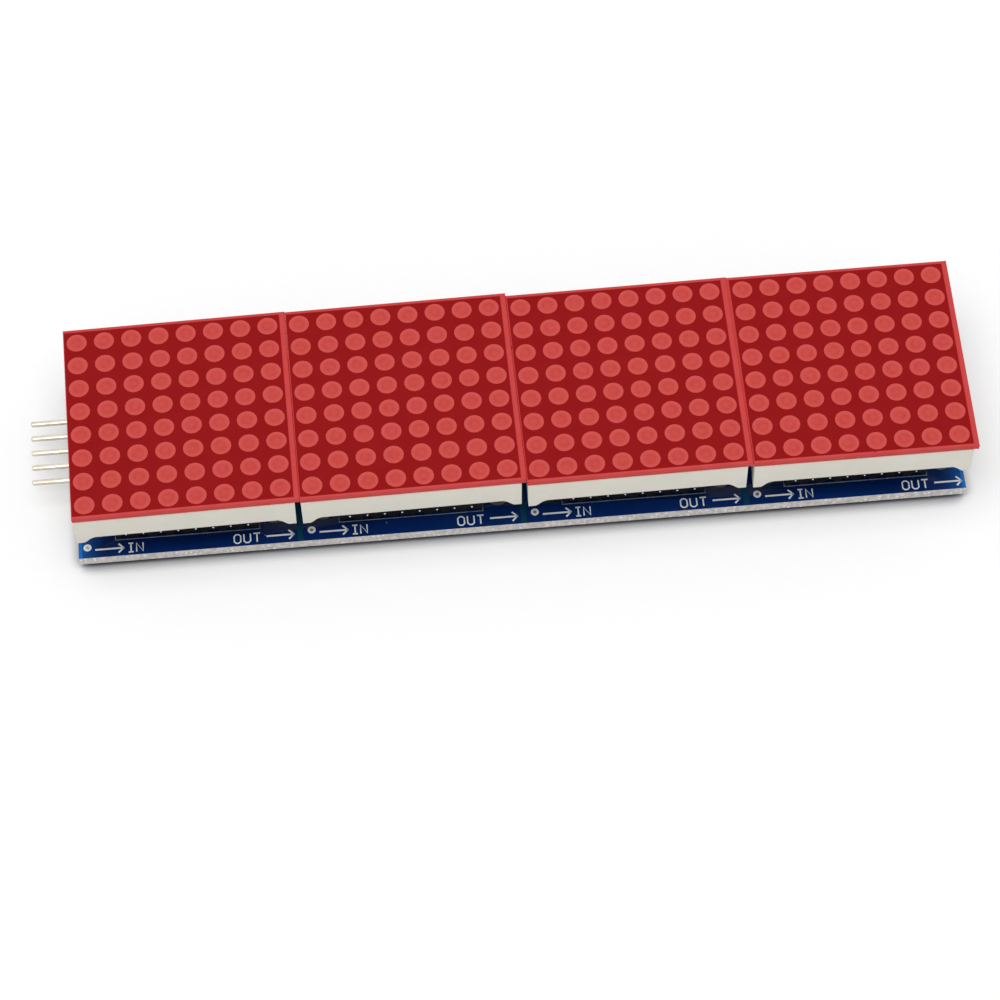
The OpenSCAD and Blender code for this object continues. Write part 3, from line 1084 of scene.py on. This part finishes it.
@dataclass
class DotMatrix:
    """One square 8 by 8 display: its face cover, dots and housing."""

    shop: Workshop
    number: int
    dots: int = 8
    pitch: float = 4.0
    dot_r: float = 1.5
    sides: int = 32
    cover: float = 32.5
    cover_shift: float = 0.32
    cover_z: float = 12.25
    field_z: float = 13.1
    rim_w: float = 0.44
    rim_h: float = 0.1
    flash: float = 0.03
    flash_gap: float = 0.01
    seat_z: float = 7.8
    foot_z: float = 6.55
    well_z: float = 9.4
    well_r: float = 1.1
    wall: float = 1.2
    foot_w: float = 1.2
    foot_slope: float = 1.1
    top: Point = (31.7, 32.6)
    draft: float = 0.05
    gap: float = 0.02
    bead: float = 0.12
    edge_r: float = 0.08
    place: Placement = field(init=False)

    def __post_init__(self) -> None:
        """Reads where the matrix is seated from its CAD cover, whose edges are off centre."""
        node = self.shop.nodes[f"face_cover_{self.number}"]
        self.place = Placement.of_square(node).moved(-self.cover_shift)

    def build(self) -> None:
        """Builds the matrix's pieces and dresses what it holds."""
        self._face()
        self._dots()
        self._housing()
        for finish, name in ((LAMINATE, "emitter_board"), (DIE, "led_dies"),
                             (RESIN, "potting"), (PIN_TIN, "matrix_pins")):
            self.shop.dress(finish, f"{name}_{self.number}")

    def _middle(self, column: int, row: int) -> Point:
        """Gives the middle of one dot."""
        x, y = ((index - (self.dots - 1) / 2) * self.pitch for index in (column, row))
        return x, y

    def _clipped(self, run: float, half: Point) -> Point:
        """Keeps a run along a side within a rectangle.

        Args:
            run: the run from the side's middle, where the cells are all of one size.
            half: half the rectangle's sizes.

        Returns:
            The run along a side that lies along x, and along one that lies along y.
        """
        ends = (self.dots / 2 - 1) * self.pitch
        over = max(abs(run) - ends, 0.0) / self.pitch
        sign = math.copysign(1.0, run)
        along_x, along_y = (run if not over else sign * (ends + over * (side - ends))
                            for side in half)
        return along_x, along_y

    def _border(self, sheet: Rectangle) -> list[Vector]:
        """Gives a rectangle's points, where the cells' spokes meet it.

        Args:
            sheet: the rectangle.

        Returns:
            The points, counter-clockwise from the lower end of the side at +x.
        """
        per_cell = self.sides // 4
        spokes = [math.tan(math.radians(-45 + 90 / per_cell * i)) for i in range(per_cell)]
        runs = [(cell - self.dots / 2 + 0.5 + spoke / 2) * self.pitch
                for cell in range(self.dots) for spoke in spokes]
        wide, deep = sheet.half
        points = []
        for turn in range(4):
            for x, y in (self._clipped(run, sheet.half) for run in runs):
                at = ((wide, y), (-x, deep), (-wide, -y), (x, -deep))[turn]
                points.append(Vector((at[0] + sheet.shift, at[1], sheet.z)))
        return points

    def _cell(self, column: int, row: int, sheet: Rectangle) -> list[Vector]:
        """Gives the outline of one dot's cell, clipped to a rectangle.

        Args:
            column: the dot's column.
            row: its row.
            sheet: the rectangle.

        Returns:
            The points, counter-clockwise from +x.
        """
        middle = self._middle(column, row)
        points = []
        for i in range(self.sides):
            angle = math.tau * i / self.sides
            way = (math.cos(angle), math.sin(angle))
            reach = self.pitch / 2 / max(abs(way[0]), abs(way[1]))
            x, y = (self._clipped(middle[axis] + reach * way[axis], sheet.half)[axis]
                    for axis in (0, 1))
            points.append(Vector((x, y, sheet.z)))
        return points

    def _pierced(self, top: Rectangle, bottom: Rectangle, throat: Profile,
                 under: int = 0) -> bmesh.types.BMesh:
        """Builds a sheet pierced by round holes, open along its border.

        Args:
            top: the sheet's upper face.
            bottom: its lower face.
            throat: the holes' profile from top to bottom, as (radius, z).
            under: the material number of the lower face. The rest has number 0.

        Returns:
            A new mesh, whose cells are merged.
        """
        cells = []
        for column in range(self.dots):
            for row in range(self.dots):
                hole = [circle(r, z, self.sides, self._middle(column, row)) for r, z in throat]
                cell = stack([self._cell(column, row, top), *hole,
                              self._cell(column, row, bottom)])
                for face in list(cell.faces)[-self.sides:]:
                    face.material_index = under
                cells.append(cell)
        whole = joined(cells)
        bmesh.ops.remove_doubles(whole, verts=whole.verts, dist=SEAM)
        return whole

    def _skirted(self, sheet: bmesh.types.BMesh, outline: Sequence[Rectangle],
                 number: int = 0) -> bmesh.types.BMesh:
        """Closes a pierced sheet with a skin through rectangles round it.

        Args:
            sheet: the sheet, which is freed.
            outline: the rectangles, from the sheet's upper face to its lower one.
            number: the skin's material number.

        Returns:
            A new closed mesh.
        """
        skin = stack([self._border(rectangle) for rectangle in outline])
        for face in skin.faces:
            face.material_index = number
        return sealed(joined((sheet, skin)))

    def _face(self) -> None:
        """Builds the printed face cover with its raised light rim."""
        out = self.cover / 2
        inner = out - self.rim_w
        field_z, foot = self.field_z, self.cover_z
        top = field_z + self.rim_h
        shift = self.cover_shift
        throat = ((self.dot_r, field_z - 0.03), (self.dot_r, foot))
        sheet = self._pierced(Rectangle((inner, inner), field_z),
                              Rectangle((inner, inner), foot), throat, under=1)
        flash = out + self.flash
        # Half the size of each line round the rim, its level and its shift to the right.
        rim = ((inner, field_z, 0.0), (inner + 0.02, top - 0.025, 0.0),
               (inner + 0.04, top, 0.01), (out - 0.06, top, shift),
               (out - 0.02, top - 0.015, shift), (out, top - 0.05, shift),
               (flash, top - 0.12, shift), (flash, top - 0.3, shift),
               (out, top - 0.45, shift), (out, foot + 0.05, shift),
               (out - 0.04, foot, shift), (inner, foot, 0.0))
        outline = [Rectangle((half, half), z, aside) for half, z, aside in rim]
        mesh = self._skirted(sheet, outline, number=1)
        self._meet_neighbours(mesh)
        self.shop.make(mesh, f"face_film_{self.number}", Slot.RED_FACE, (FIELD_INK, FILM_EDGE),
                       f"face_cover_{self.number}", place=self.place.matrix(), smooth=50)

    def _meet_neighbours(self, mesh: bmesh.types.BMesh) -> None:
        """Draws the cover's moulding flash out to where it meets the covers beside it.

        Args:
            mesh: the cover in its own frame, which is changed.
        """
        half = self.cover / 2
        for side in (-1, 1):
            name = f"face_cover_{self.number + side}"
            if name not in self.shop.nodes:
                continue
            other = Placement.of_square(self.shop.nodes[name]).matrix()
            into_own = self.place.matrix().inverted() @ other
            start, end = (into_own @ Vector((-side * half, y, 0)) for y in (-half, half))
            mine = self.cover_shift + side * half
            for vert in mesh.verts:
                if abs(vert.co.x - mine - side * self.flash) > SEAM:
                    continue
                share = (vert.co.y - start.y) / (end.y - start.y)
                theirs = start.x + share * (end.x - start.x)
                vert.co.x = (mine + theirs - side * self.flash_gap) / 2

    def _dots(self) -> None:
        """Builds the resin dots, each with a fine raised lip round its face."""
        edge = self.dot_r - self.gap
        z = self.field_z
        # Each point's radius, its level and its share of the lip's colour.
        section = ((0.0, self.well_z, 0.0), (self.well_r - self.gap, self.well_z, 0.0),
                   (edge, self.cover_z, 1.0), (edge, z - 0.02, 0.8),
                   (edge - 0.02, z + 0.004, 0.8), (edge - 0.06, z + 0.012, 0.8),
                   (edge - 0.12, z + 0.006, 0.8), (edge - 0.17, z - 0.008, 0.7),
                   (edge * 0.75, z - 0.012, 0.6), (edge * 0.5, z - 0.012, 0.0),
                   (0.0, z - 0.012, 0.45))
        template = lathe([(r, level) for r, level, _ in section], self.sides)
        layer = template.verts.layers.float.new(LIP)
        template.verts.ensure_lookup_table()
        for index, vert in enumerate(template.verts):
            vert[layer] = section[index // self.sides][2]
        grid = Grid(self.dots, self.dots, (self.pitch, self.pitch))
        mesh = self.shop.lay(template, grid, DOT_RESIN, seed=self.number)
        self.shop.make(mesh, f"resin_dots_{self.number}", Slot.RED_LENS, (DOT_RESIN,),
                       f"dot_lenses_{self.number}", place=self.place.matrix())

    def _housing(self) -> None:
        """Builds the moulded housing: pierced top, drafted walls, feet and open back."""
        top = (self.top[0] / 2, self.top[1] / 2)
        foot = (top[0] - self.draft, top[1] - self.draft)
        pocket = (foot[0] - self.wall, foot[1] - self.wall)
        bead = (top[0], top[1] + self.bead)
        z = self.cover_z
        throat = ((self.dot_r, z), (self.well_r, self.well_z))
        sheet = self._pierced(Rectangle(top, z), Rectangle(pocket, self.well_z), throat)
        wall = ((top, z), (bead, z - 0.01), (bead, z - 0.09), (top, z - 0.16),
                (foot, self.foot_z), (pocket, self.foot_z), (pocket, self.well_z))
        mesh = self._skirted(sheet, [Rectangle(half, level) for half, level in wall])
        self._lift_walls(mesh, foot)
        soften(mesh, self.edge_r, 2, self._low_edge)
        self.shop.make(mesh, f"housing_shell_{self.number}", Slot.CREAM_PLASTIC, (CREAM,),
                       f"housing_{self.number}", place=self.place.matrix(), smooth=35)

    def _lift_walls(self, mesh: bmesh.types.BMesh, foot: Point) -> None:
        """Raises the walls' lower edge between the feet.

        Args:
            mesh: the housing, whose walls all reach down to the feet.
            foot: half the housing's sizes at its feet.
        """
        soles = [side - self.foot_w for side in foot]
        for vert in mesh.verts:
            if vert.co.z > self.foot_z + NEAR:
                continue
            rise = max(sole - abs(value) for sole, value in zip(soles, vert.co.xy))
            share = min(max(rise / self.foot_slope, 0.0), 1.0)
            vert.co.z += (self.seat_z - self.foot_z) * share

    def _low_edge(self, edge: bmesh.types.BMEdge) -> bool:
        """Tells whether an edge runs along the walls' lower side."""
        return all(vert.co.z < self.seat_z + NEAR for vert in edge.verts)


@dataclass
class CircuitBoard:
    """The long board with its pads, plated holes and white print.

    Places that lie in one matrix's cell are counted from the middle of that cell.
    """

    shop: Workshop
    cell: float = 32.6
    end_trim: float = 0.4
    thick: float = 1.6
    pins: int = 8
    pin_pitch: float = 2.54
    pin_rows: float = 24.0
    links: int = 5
    link_x: float = 12.4
    link_y: float = 1.8
    hole_r: float = 0.51
    pin_pad_r: float = 0.92
    link_pad_r: float = 0.86
    pad_h: float = 0.035
    strip_h: float = 0.012
    strip_half_y: float = 16.08
    seam_half_w: float = 0.42
    end_half_w: float = 0.25
    end_inset: float = 0.26
    ink_h: float = 0.03
    arrow_w: float = 0.27
    arrow_y: float = -14.8
    in_arrow: Point = (-13.5, -9.35)
    out_arrow: Point = (11.4, 15.4)
    letter_w: float = 0.21
    letter_y: float = -15.6
    in_x: float = -8.3
    out_x: float = 6.7
    ring_at: Point = (-14.6, -14.35)
    ring_r: float = 0.42
    ring_w: float = 0.34
    ring_dot_r: float = 0.27
    frame_half: Point = (10.5, 1.42)
    frame_w: float = 0.16

    def centre(self, number: int) -> float:
        """Gives the x of a matrix's cell."""
        return (number - (MATRICES[0] + MATRICES[-1]) / 2) * self.cell

    def pin_holes(self) -> Grid:
        """Gives the holes of one cell's two sockets."""
        return Grid(self.pins, 2, (self.pin_pitch, self.pin_rows))

    def link_holes(self) -> Grid:
        """Gives one cell's input holes and output holes."""
        return Grid(2, self.links, (2 * self.link_x, self.pin_pitch), (0.0, self.link_y))

    def build(self) -> None:
        """Builds the board's pieces."""
        self._slab()
        for name, inner, outer, grid in (
                ("pin_pads", self.hole_r, self.pin_pad_r, self.pin_holes()),
                ("link_pads", self.hole_r, self.link_pad_r, self.link_holes()),
                ("ring_pads", 0.0, self.ring_dot_r, Grid(centre=self.ring_at))):
            self._pads(name, inner, outer, grid)
        end = 2 * self.cell - self.end_trim - self.end_inset
        # The gap strips carry painted shade and the end strips painted light, over the real
        # copper-free mask.
        self._strips("mask_strips", (-self.cell, 0.0, self.cell), self.seam_half_w, SHADED_GAP_MASK)
        self._strips("mask_ends", (-end, end), self.end_half_w, LIT_END_MASK)
        self._print()

    def _slab(self) -> None:
        """Builds the slab: masked faces, cut edges and plated holes."""
        low, high = box_mm("circuit_board")
        mesh = self.shop.copy("circuit_board", flat=False)
        for face in mesh.faces:
            x, y, _ = face.calc_center_median()
            edge = min(x - low.x, high.x - x, y - low.y, high.y - y)
            face.material_index = 0 if abs(face.normal.z) > 0.5 else 1 if edge < NEAR else 2
        self.shop.make(mesh, "board_slab", Slot.SOLDER_MASK, (MASK_TOP, CUT_LAMINATE, PLATED),
                       "circuit_board", smooth=30)

    def _pad(self, inner: float, outer: float) -> bmesh.types.BMesh:
        """Builds a pad for both faces of the board, round a hole.

        Args:
            inner: the hole's radius.
            outer: the pad's radius.

        Returns:
            A new mesh.
        """
        sides, slope = 28, 0.02
        return joined(sealed(stack([
            circle(inner, z, sides), circle(inner, z + rise, sides),
            circle(outer - slope, z + rise, sides), circle(outer, z, sides),
            circle(inner, z, sides)])) for z, rise in ((self.thick, self.pad_h),
                                                       (0.0, -self.pad_h)))

    def _pads(self, name: str, inner: float, outer: float, grid: Grid) -> None:
        """Lays pads in every cell.

        Args:
            name: the piece's name.
            inner: their holes' radius.
            outer: their own radius.
            grid: their rows and columns in a cell.
        """
        whole = joined(self.shop.lay(self._pad(inner, outer), grid.moved(self.centre(n)), PLATED)
                       for n in MATRICES)
        self.shop.make(whole, name, Slot.TINNED_PIN, (PLATED,))

    def _strips(self, name: str, places: Sequence[float], half_w: float,
                finish: Finish) -> None:
        """Lays lighter mask strips across both faces of the board, where the copper stops, in
        finishes that add painted shade in the gaps and painted light at the ends.

        Args:
            name: the piece's name.
            places: the x of each strip's middle.
            half_w: half a strip's width.
            finish: their finish.
        """
        sunk = 0.01
        plan = oblong(half_w, self.strip_half_y)
        whole = joined(block([[Vector((middle + x, y, z)) for x, y in plan] for z in levels])
                       for middle in places
                       for levels in ((self.thick - sunk, self.thick + self.strip_h),
                                      (sunk, -self.strip_h)))
        self.shop.make(whole, name, Slot.SOLDER_MASK, (finish,))

    @staticmethod
    def _moved(paths: Sequence[Path], x: float, y: float) -> list[Path]:
        """Gives a pen's paths moved to a place."""
        return [[(x + a, y + b) for a, b in path] for path in paths]

    def _word(self, label: Label) -> list[Path]:
        """Gives the pen's paths for a word.

        Args:
            label: the word.

        Returns:
            The paths, with the foot of the first letter at the origin.
        """
        w, h, cut = 0.95, 1.45, 0.28
        step, serif, space = 1.42, 0.36, 0.45
        if label is Label.IN:
            letter_i = [[(-serif, 0), (serif, 0)], [(-serif, h), (serif, h)], [(0, 0), (0, h)]]
            letter_n = [[(0, 0), (0, h), (w, 0), (w, h)]]
            return letter_i + self._moved(letter_n, serif + space, 0)
        letter_o = [[(cut, 0), (w - cut, 0), (w, cut), (w, h - cut), (w - cut, h), (cut, h),
                     (0, h - cut), (0, cut), (cut, 0)]]
        letter_u = [[(0, h), (0, cut), (cut, 0), (w - cut, 0), (w, cut), (w, h)]]
        letter_t = [[(0, h), (w, h)], [(w / 2, 0), (w / 2, h)]]
        return letter_o + self._moved(letter_u, step, 0) + self._moved(letter_t, 2 * step, 0)

    @staticmethod
    def _arrow(tail: float, tip: float) -> list[Path]:
        """Gives the pen's paths for an arrow along the x axis."""
        barb = 0.75
        return [[(tail, 0), (tip, 0)], [(tip - barb, barb), (tip, 0), (tip - barb, -barb)]]

    def _print(self) -> None:
        """Prints the arrows, words, pin-one rings and part outlines on the board."""
        arrows = self._arrow(*self.in_arrow) + self._arrow(*self.out_arrow)
        words = (self._moved(self._word(Label.IN), self.in_x, 0)
                 + self._moved(self._word(Label.OUT), self.out_x, 0))
        ring = [(point.x, point.y) for point in circle(self.ring_r, 0.0, 24, self.ring_at)]
        frame = oblong(*self.frame_half)
        rows = (-self.pin_rows / 2, self.pin_rows / 2)
        frames = [path for y in rows for path in self._moved([frame + frame[:1]], 0, y)]
        for name, paths, y, width, finish in (
                ("board_arrows", arrows, self.arrow_y, self.arrow_w, PRINT),
                ("board_words", words, self.letter_y, self.letter_w, PRINT),
                ("board_rings", [ring + ring[:1]], 0.0, self.ring_w, PRINT),
                ("socket_frames", frames, 0.0, self.frame_w, SHADED_PRINT)):
            lines = [path for n in MATRICES for path in self._moved(paths, self.centre(n), y)]
            mesh = self.shop.stroker.draw(lines, self.thick + self.ink_h / 2, width,
                                          self.ink_h, self.shop.finishes.get(finish))
            self.shop.make(mesh, name, Slot.SOLDER_MASK, (finish,), smooth=None)


@dataclass
class Sockets:
    """The socket strips, their contacts and the joints that solder them to the board."""

    shop: Workshop
    board: CircuitBoard
    width: float = 2.5
    edge_r: float = 0.12
    joint_r: float = 0.85
    joint_h: float = 1.1
    tip_r: float = 0.5
    leg_r: float = 0.48
    window_z: float = 2.65
    bend_half: Point = (0.17, 0.2)
    bend_levels: Profile = ((-0.3, 1.0), (0.01, 1.0), (0.13, 0.3))
    bend_spin: float = 0.5
    bend_seed: int = 100

    def build(self) -> None:
        """Builds the strips and the joints, and dresses the contacts."""
        for n in MATRICES:
            for row in ("front", "rear"):
                self._strip(f"socket_{row}_{n}")
            grid = self.board.pin_holes().moved(self.board.centre(n))
            self.shop.joints(f"socket_joints_{n}", f"solder_joints_{n}", self._joint(), grid, n)
            self.shop.dress(SPRING_METAL, f"socket_contacts_{n}")

    def _strip(self, name: str) -> None:
        """Builds one strip with eased outer edges.

        Args:
            name: its CAD node.
        """
        low, high = box_mm(name)
        mesh = self.shop.copy(name)

        def outer(edge: bmesh.types.BMEdge) -> bool:
            """Tells whether an edge is one of the strip's own, above its foot.

            Args:
                edge: the edge.

            Returns:
                Whether it runs round the strip's top or up one of its corners.
            """
            middle = (edge.verts[0].co + edge.verts[1].co) / 2
            nearest, second, *_ = sorted((middle.x - low.x, high.x - middle.x,
                                          middle.y - low.y, high.y - middle.y))
            on_top = high.z - middle.z < NEAR
            return nearest < NEAR and (on_top or second < NEAR)

        soften(mesh, self.edge_r, 2, outer)
        self.shop.make(mesh, f"{name}_body", Slot.BLACK_PLASTIC, (HEADER_BLACK,), name,
                       smooth=30)
        self._bends(name, low, high)

    def _bends(self, name: str, low: Vector, high: Vector) -> None:
        """Shows the bright bend of each contact in a small window in the strip's walls.

        Args:
            name: the strip's CAD node.
            low: its lowest corner.
            high: its highest corner.
        """
        plan = oblong(*self.bend_half)
        template = block([[Vector((x * share, y, z * share)) for x, z in plan]
                          for y, share in self.bend_levels])
        grid = Grid(self.board.pins, 2, (self.board.pin_pitch, self.width))
        mesh = self.shop.lay(template, grid, SOLDER_BRIGHT, outward=True, spin=self.bend_spin,
                             seed=int(low.x) + self.bend_seed)
        middle = (low + high) / 2
        place = Matrix.Translation((middle.x, middle.y, self.window_z))
        self.shop.make(mesh, f"{name}_bends", Slot.CONTACT_METAL, (SOLDER_BRIGHT,), place=place)

    def _joint(self) -> Profile:
        """Gives a joint's section: a hollow-sided cone below and a low fillet above.

        Returns:
            The section, as (radius, z), from the cone's tip up to the fillet's top.
        """
        r, h, tip, top = self.joint_r, self.joint_h, self.tip_r, self.board.thick
        return ((0.0, -h), (0.3, -h + 0.02), (0.4, -h + 0.1), (tip * 0.86, -h * 0.75),
                (tip, -h * 0.5), (tip * 1.2, -h * 0.25), (r * 0.84, -0.09), (r, -0.036),
                (self.leg_r, -0.02), (self.leg_r, top + 0.02), (r - 0.2, top + 0.036),
                (0.52, top + 0.14), (0.4, top + 0.28), (0.0, top + 0.3))


@dataclass
class InputHeader:
    """The right-angle header: its body, its square pins and their joints."""

    shop: Workshop
    board: CircuitBoard
    body_edge_r: float = 0.08
    body_shortest: float = 1.2
    body_core: float = 0.6
    pin_edge_r: float = 0.07
    leg_r: float = 0.2
    hole_r: float = 0.48
    turn_seed: int = 9

    def build(self) -> None:
        """Builds the header's pieces."""
        body = self.shop.copy("input_header")
        low, high = box_mm("input_header")
        middle = (low.z + high.z) / 2
        soften(body, self.body_edge_r, 2, lambda edge: edge.calc_length() > self.body_shortest
               and all(abs(vert.co.z - middle) > self.body_core for vert in edge.verts))
        self.shop.make(body, "header_body", Slot.BLACK_PLASTIC, (HEADER_BLACK,), "input_header",
                       smooth=30)
        pins = self.shop.copy("input_pins")
        soften(pins, self.pin_edge_r, 2)
        self.shop.make(pins, "header_pins", Slot.TINNED_PIN, (PIN_TIN,), "input_pins", smooth=32)
        holes = replace(self.board.link_holes(), columns=1)
        grid = holes.moved(self.board.centre(1) - self.board.link_x)
        self.shop.joints("header_joints", "header_solder", self._joint(), grid, self.turn_seed)

    def _joint(self) -> Profile:
        """Gives a joint's section: a sleeve round the leg, wider at both faces of the board.

        Returns:
            The closed section, as (radius, z).
        """
        leg, hole, top = self.leg_r, self.hole_r, self.board.thick
        return ((leg, -0.9), (0.46, -0.86), (0.5, -0.6), (0.58, -0.3), (0.72, -0.09),
                (0.84, -0.036), (hole, -0.02), (hole, top + 0.02), (0.65, top + 0.036),
                (0.5, top + 0.14), (0.42, top + 0.26), (leg, top + 0.28), (leg, -0.9))


@dataclass
class Electronics:
    """The driver chips and the chip parts under the matrices."""

    shop: Workshop
    chip_edge_r: float = 0.06
    lead_edge_r: float = 0.03
    part_edge_r: float = 0.04
    end_cap: float = 0.4
    shortest: float = 0.3

    def build(self) -> None:
        """Builds the chips, their leads and the small parts."""
        for n in MATRICES:
            self._chip(n)
        for name, finish, slot in (("bypass_capacitors", CERAMIC, Slot.CAPACITOR),
                                   ("bulk_capacitors", CERAMIC, Slot.CAPACITOR),
                                   ("set_resistors", GLAZE, Slot.RESISTOR)):
            self._chip_parts(name, finish, slot)

    def _long(self, edge: bmesh.types.BMEdge) -> bool:
        """Tells whether an edge is long enough to be eased."""
        return edge.calc_length() > self.shortest

    def _chip(self, n: int) -> None:
        """Builds one driver chip's body and leads.

        Args:
            n: the number of its matrix.
        """
        body = self.shop.copy(f"driver_chip_{n}")
        soften(body, self.chip_edge_r, 2, self._long)
        self.shop.make(body, f"chip_body_{n}", Slot.CHIP_EPOXY, (EPOXY,), f"driver_chip_{n}",
                       smooth=30)
        leads = self.shop.copy(f"driver_leads_{n}")
        soften(leads, self.lead_edge_r, 1)
        self.shop.make(leads, f"chip_leads_{n}", Slot.TINNED_LEAD, (LEAD_TIN,),
                       f"driver_leads_{n}", smooth=30)

    def _chip_parts(self, name: str, finish: Finish, slot: Slot) -> None:
        """Builds one kind of chip part, with tinned ends.

        Args:
            name: the CAD node.
            finish: the finish of the parts' bodies.
            slot: their material slot.
        """
        mesh = self.shop.copy(name)
        low, high = box_mm(name)
        for face in mesh.faces:
            y = face.calc_center_median().y
            face.material_index = 1 if min(y - low.y, high.y - y) < self.end_cap else 0
        soften(mesh, self.part_edge_r, 1, self._long)
        self.shop.make(mesh, f"{name}_bodies", slot, (finish, END_CAP), name, smooth=30)


@dataclass
class Studio:
    """The pale floor, the soft light and the camera."""

    camera_mm: tuple[float, float, float] = (-21.25, -289.64, 456.27)
    azimuth: float = -3.72
    elevation: float = 58.52
    roll: float = -1.41
    lens: float = 131.4
    sensor: float = 36.0
    clip: Point = (0.01, 20.0)
    floor_z: float = -1.1
    floor_half: float = 2500.0
    floor_glow: float = 0.08
    floor_open: tuple[float, ...] = (0.94, 0.942, 0.95, 1.0)
    floor_shaded: tuple[float, ...] = (0.05, 0.055, 0.065, 1.0)
    shadow_reach: float = 0.003
    shadow_range: Point = (0.3, 0.85)
    sky: float = 0.49
    lamp_power: float = 1.6
    lamp_width: float = 60.0
    lamp_tilt: Point = (7.0, -5.0)

    def build(self) -> None:
        """Builds the floor, the light, the world and the camera."""
        self._floor()
        self._world()
        self._sun()
        self._camera()
        bpy.context.scene.view_settings.view_transform = "Standard"

    def _floor(self) -> None:
        """Lays the floor under the board's solder joints, with a painted contact shadow where
        the board is close.
        """
        mesh = bmesh.new()
        mesh.faces.new([mesh.verts.new((x, y, self.floor_z))
                        for x, y in oblong(self.floor_half, self.floor_half)])
        material = bpy.data.materials.new("Studio floor")
        graph = emptied(material)
        seen = graph.add("ShaderNodeLightPath").outputs["Is Camera Ray"]
        # Painted contact shadow: ambient occlusion darkens the floor's colour and its glow near
        # the board.
        nearby = graph.add("ShaderNodeAmbientOcclusion",
                           {"Distance": self.shadow_reach}).outputs["AO"]
        open_share = graph.spread(nearby, *self.shadow_range)
        glow = graph.math("MULTIPLY", graph.math("MULTIPLY", seen, self.floor_glow), open_share)
        shader = graph.add("ShaderNodeBsdfPrincipled", {
            "Base Color": graph.blend(open_share, self.floor_shaded, self.floor_open),
            "Roughness": 0.9, "Specular IOR Level": 0.0, "Emission Color": WHITE,
            "Emission Strength": glow})
        graph.add("ShaderNodeOutputMaterial", {"Surface": shader.outputs["BSDF"]})
        finished(mesh, "studio_floor", (material,), smooth=None)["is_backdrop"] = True

    def _world(self) -> None:
        """Fills the surroundings with even light that shows as white."""
        world = bpy.data.worlds.new("Studio")
        bpy.context.scene.world = world
        graph = emptied(world)
        rays = graph.add("ShaderNodeLightPath").outputs
        mirrored = graph.math("MAXIMUM", rays["Is Glossy Ray"], rays["Is Transmission Ray"])
        seen = graph.math("MAXIMUM", rays["Is Camera Ray"], mirrored)
        sky = graph.add("ShaderNodeBackground", {
            "Color": WHITE, "Strength": graph.spread(seen, 0.0, 1.0, self.sky, 1.0)})
        graph.add("ShaderNodeOutputWorld", {"Surface": sky.outputs[0]})

    def _sun(self) -> None:
        """Hangs one broad soft lamp above the module, a little to the front and the left."""
        light = bpy.data.lights.new("Soft lamp", "SUN")
        light.energy = self.lamp_power
        light.angle = math.radians(self.lamp_width)
        lamp = linked("Soft lamp", light)
        lamp.rotation_euler = (*(math.radians(tilt) for tilt in self.lamp_tilt), 0.0)

    def _camera(self) -> None:
        """Sets the camera by its place and three angles."""
        turn, rise, roll = (math.radians(a) for a in (self.azimuth, self.elevation, self.roll))
        back = Vector((math.sin(turn) * math.cos(rise), -math.cos(turn) * math.cos(rise),
                       math.sin(rise)))
        right = Vector((math.cos(turn), math.sin(turn), 0.0))
        up = back.cross(right)
        across = right * math.cos(roll) + up * math.sin(roll)
        upward = up * math.cos(roll) - right * math.sin(roll)
        data = bpy.data.cameras.new("View")
        data.lens = self.lens
        data.sensor_width = self.sensor
        data.clip_start, data.clip_end = self.clip
        camera = linked("View", data)
        turned = Matrix((across, upward, back)).transposed().to_4x4()
        camera.matrix_world = Matrix.Translation(Vector(self.camera_mm) * MM) @ turned
        bpy.context.scene.camera = camera


def corners(bounds: Iterable[Vector]) -> list[list[float]]:
    """Turns a pair of corners into plain lists of numbers."""
    return [[float(value) for value in corner] for corner in bounds]


def main() -> None:
    """Builds the studio, then each sub-assembly."""
    logging.basicConfig(level=logging.INFO, format="%(name)s %(message)s")
    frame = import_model()
    cad_box = corners(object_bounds())
    Studio().build()
    shop = Workshop(frame["nodes"], Finishes(), Repeater(), Stroker())
    board = CircuitBoard(shop)
    board.build()
    Sockets(shop, board).build()
    InputHeader(shop, board).build()
    Electronics(shop).build()
    for number in MATRICES:
        DotMatrix(shop, number).build()
    sizes = {"cad": cad_box, "visual": corners(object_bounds())}


if __name__ == "__main__":
    main()
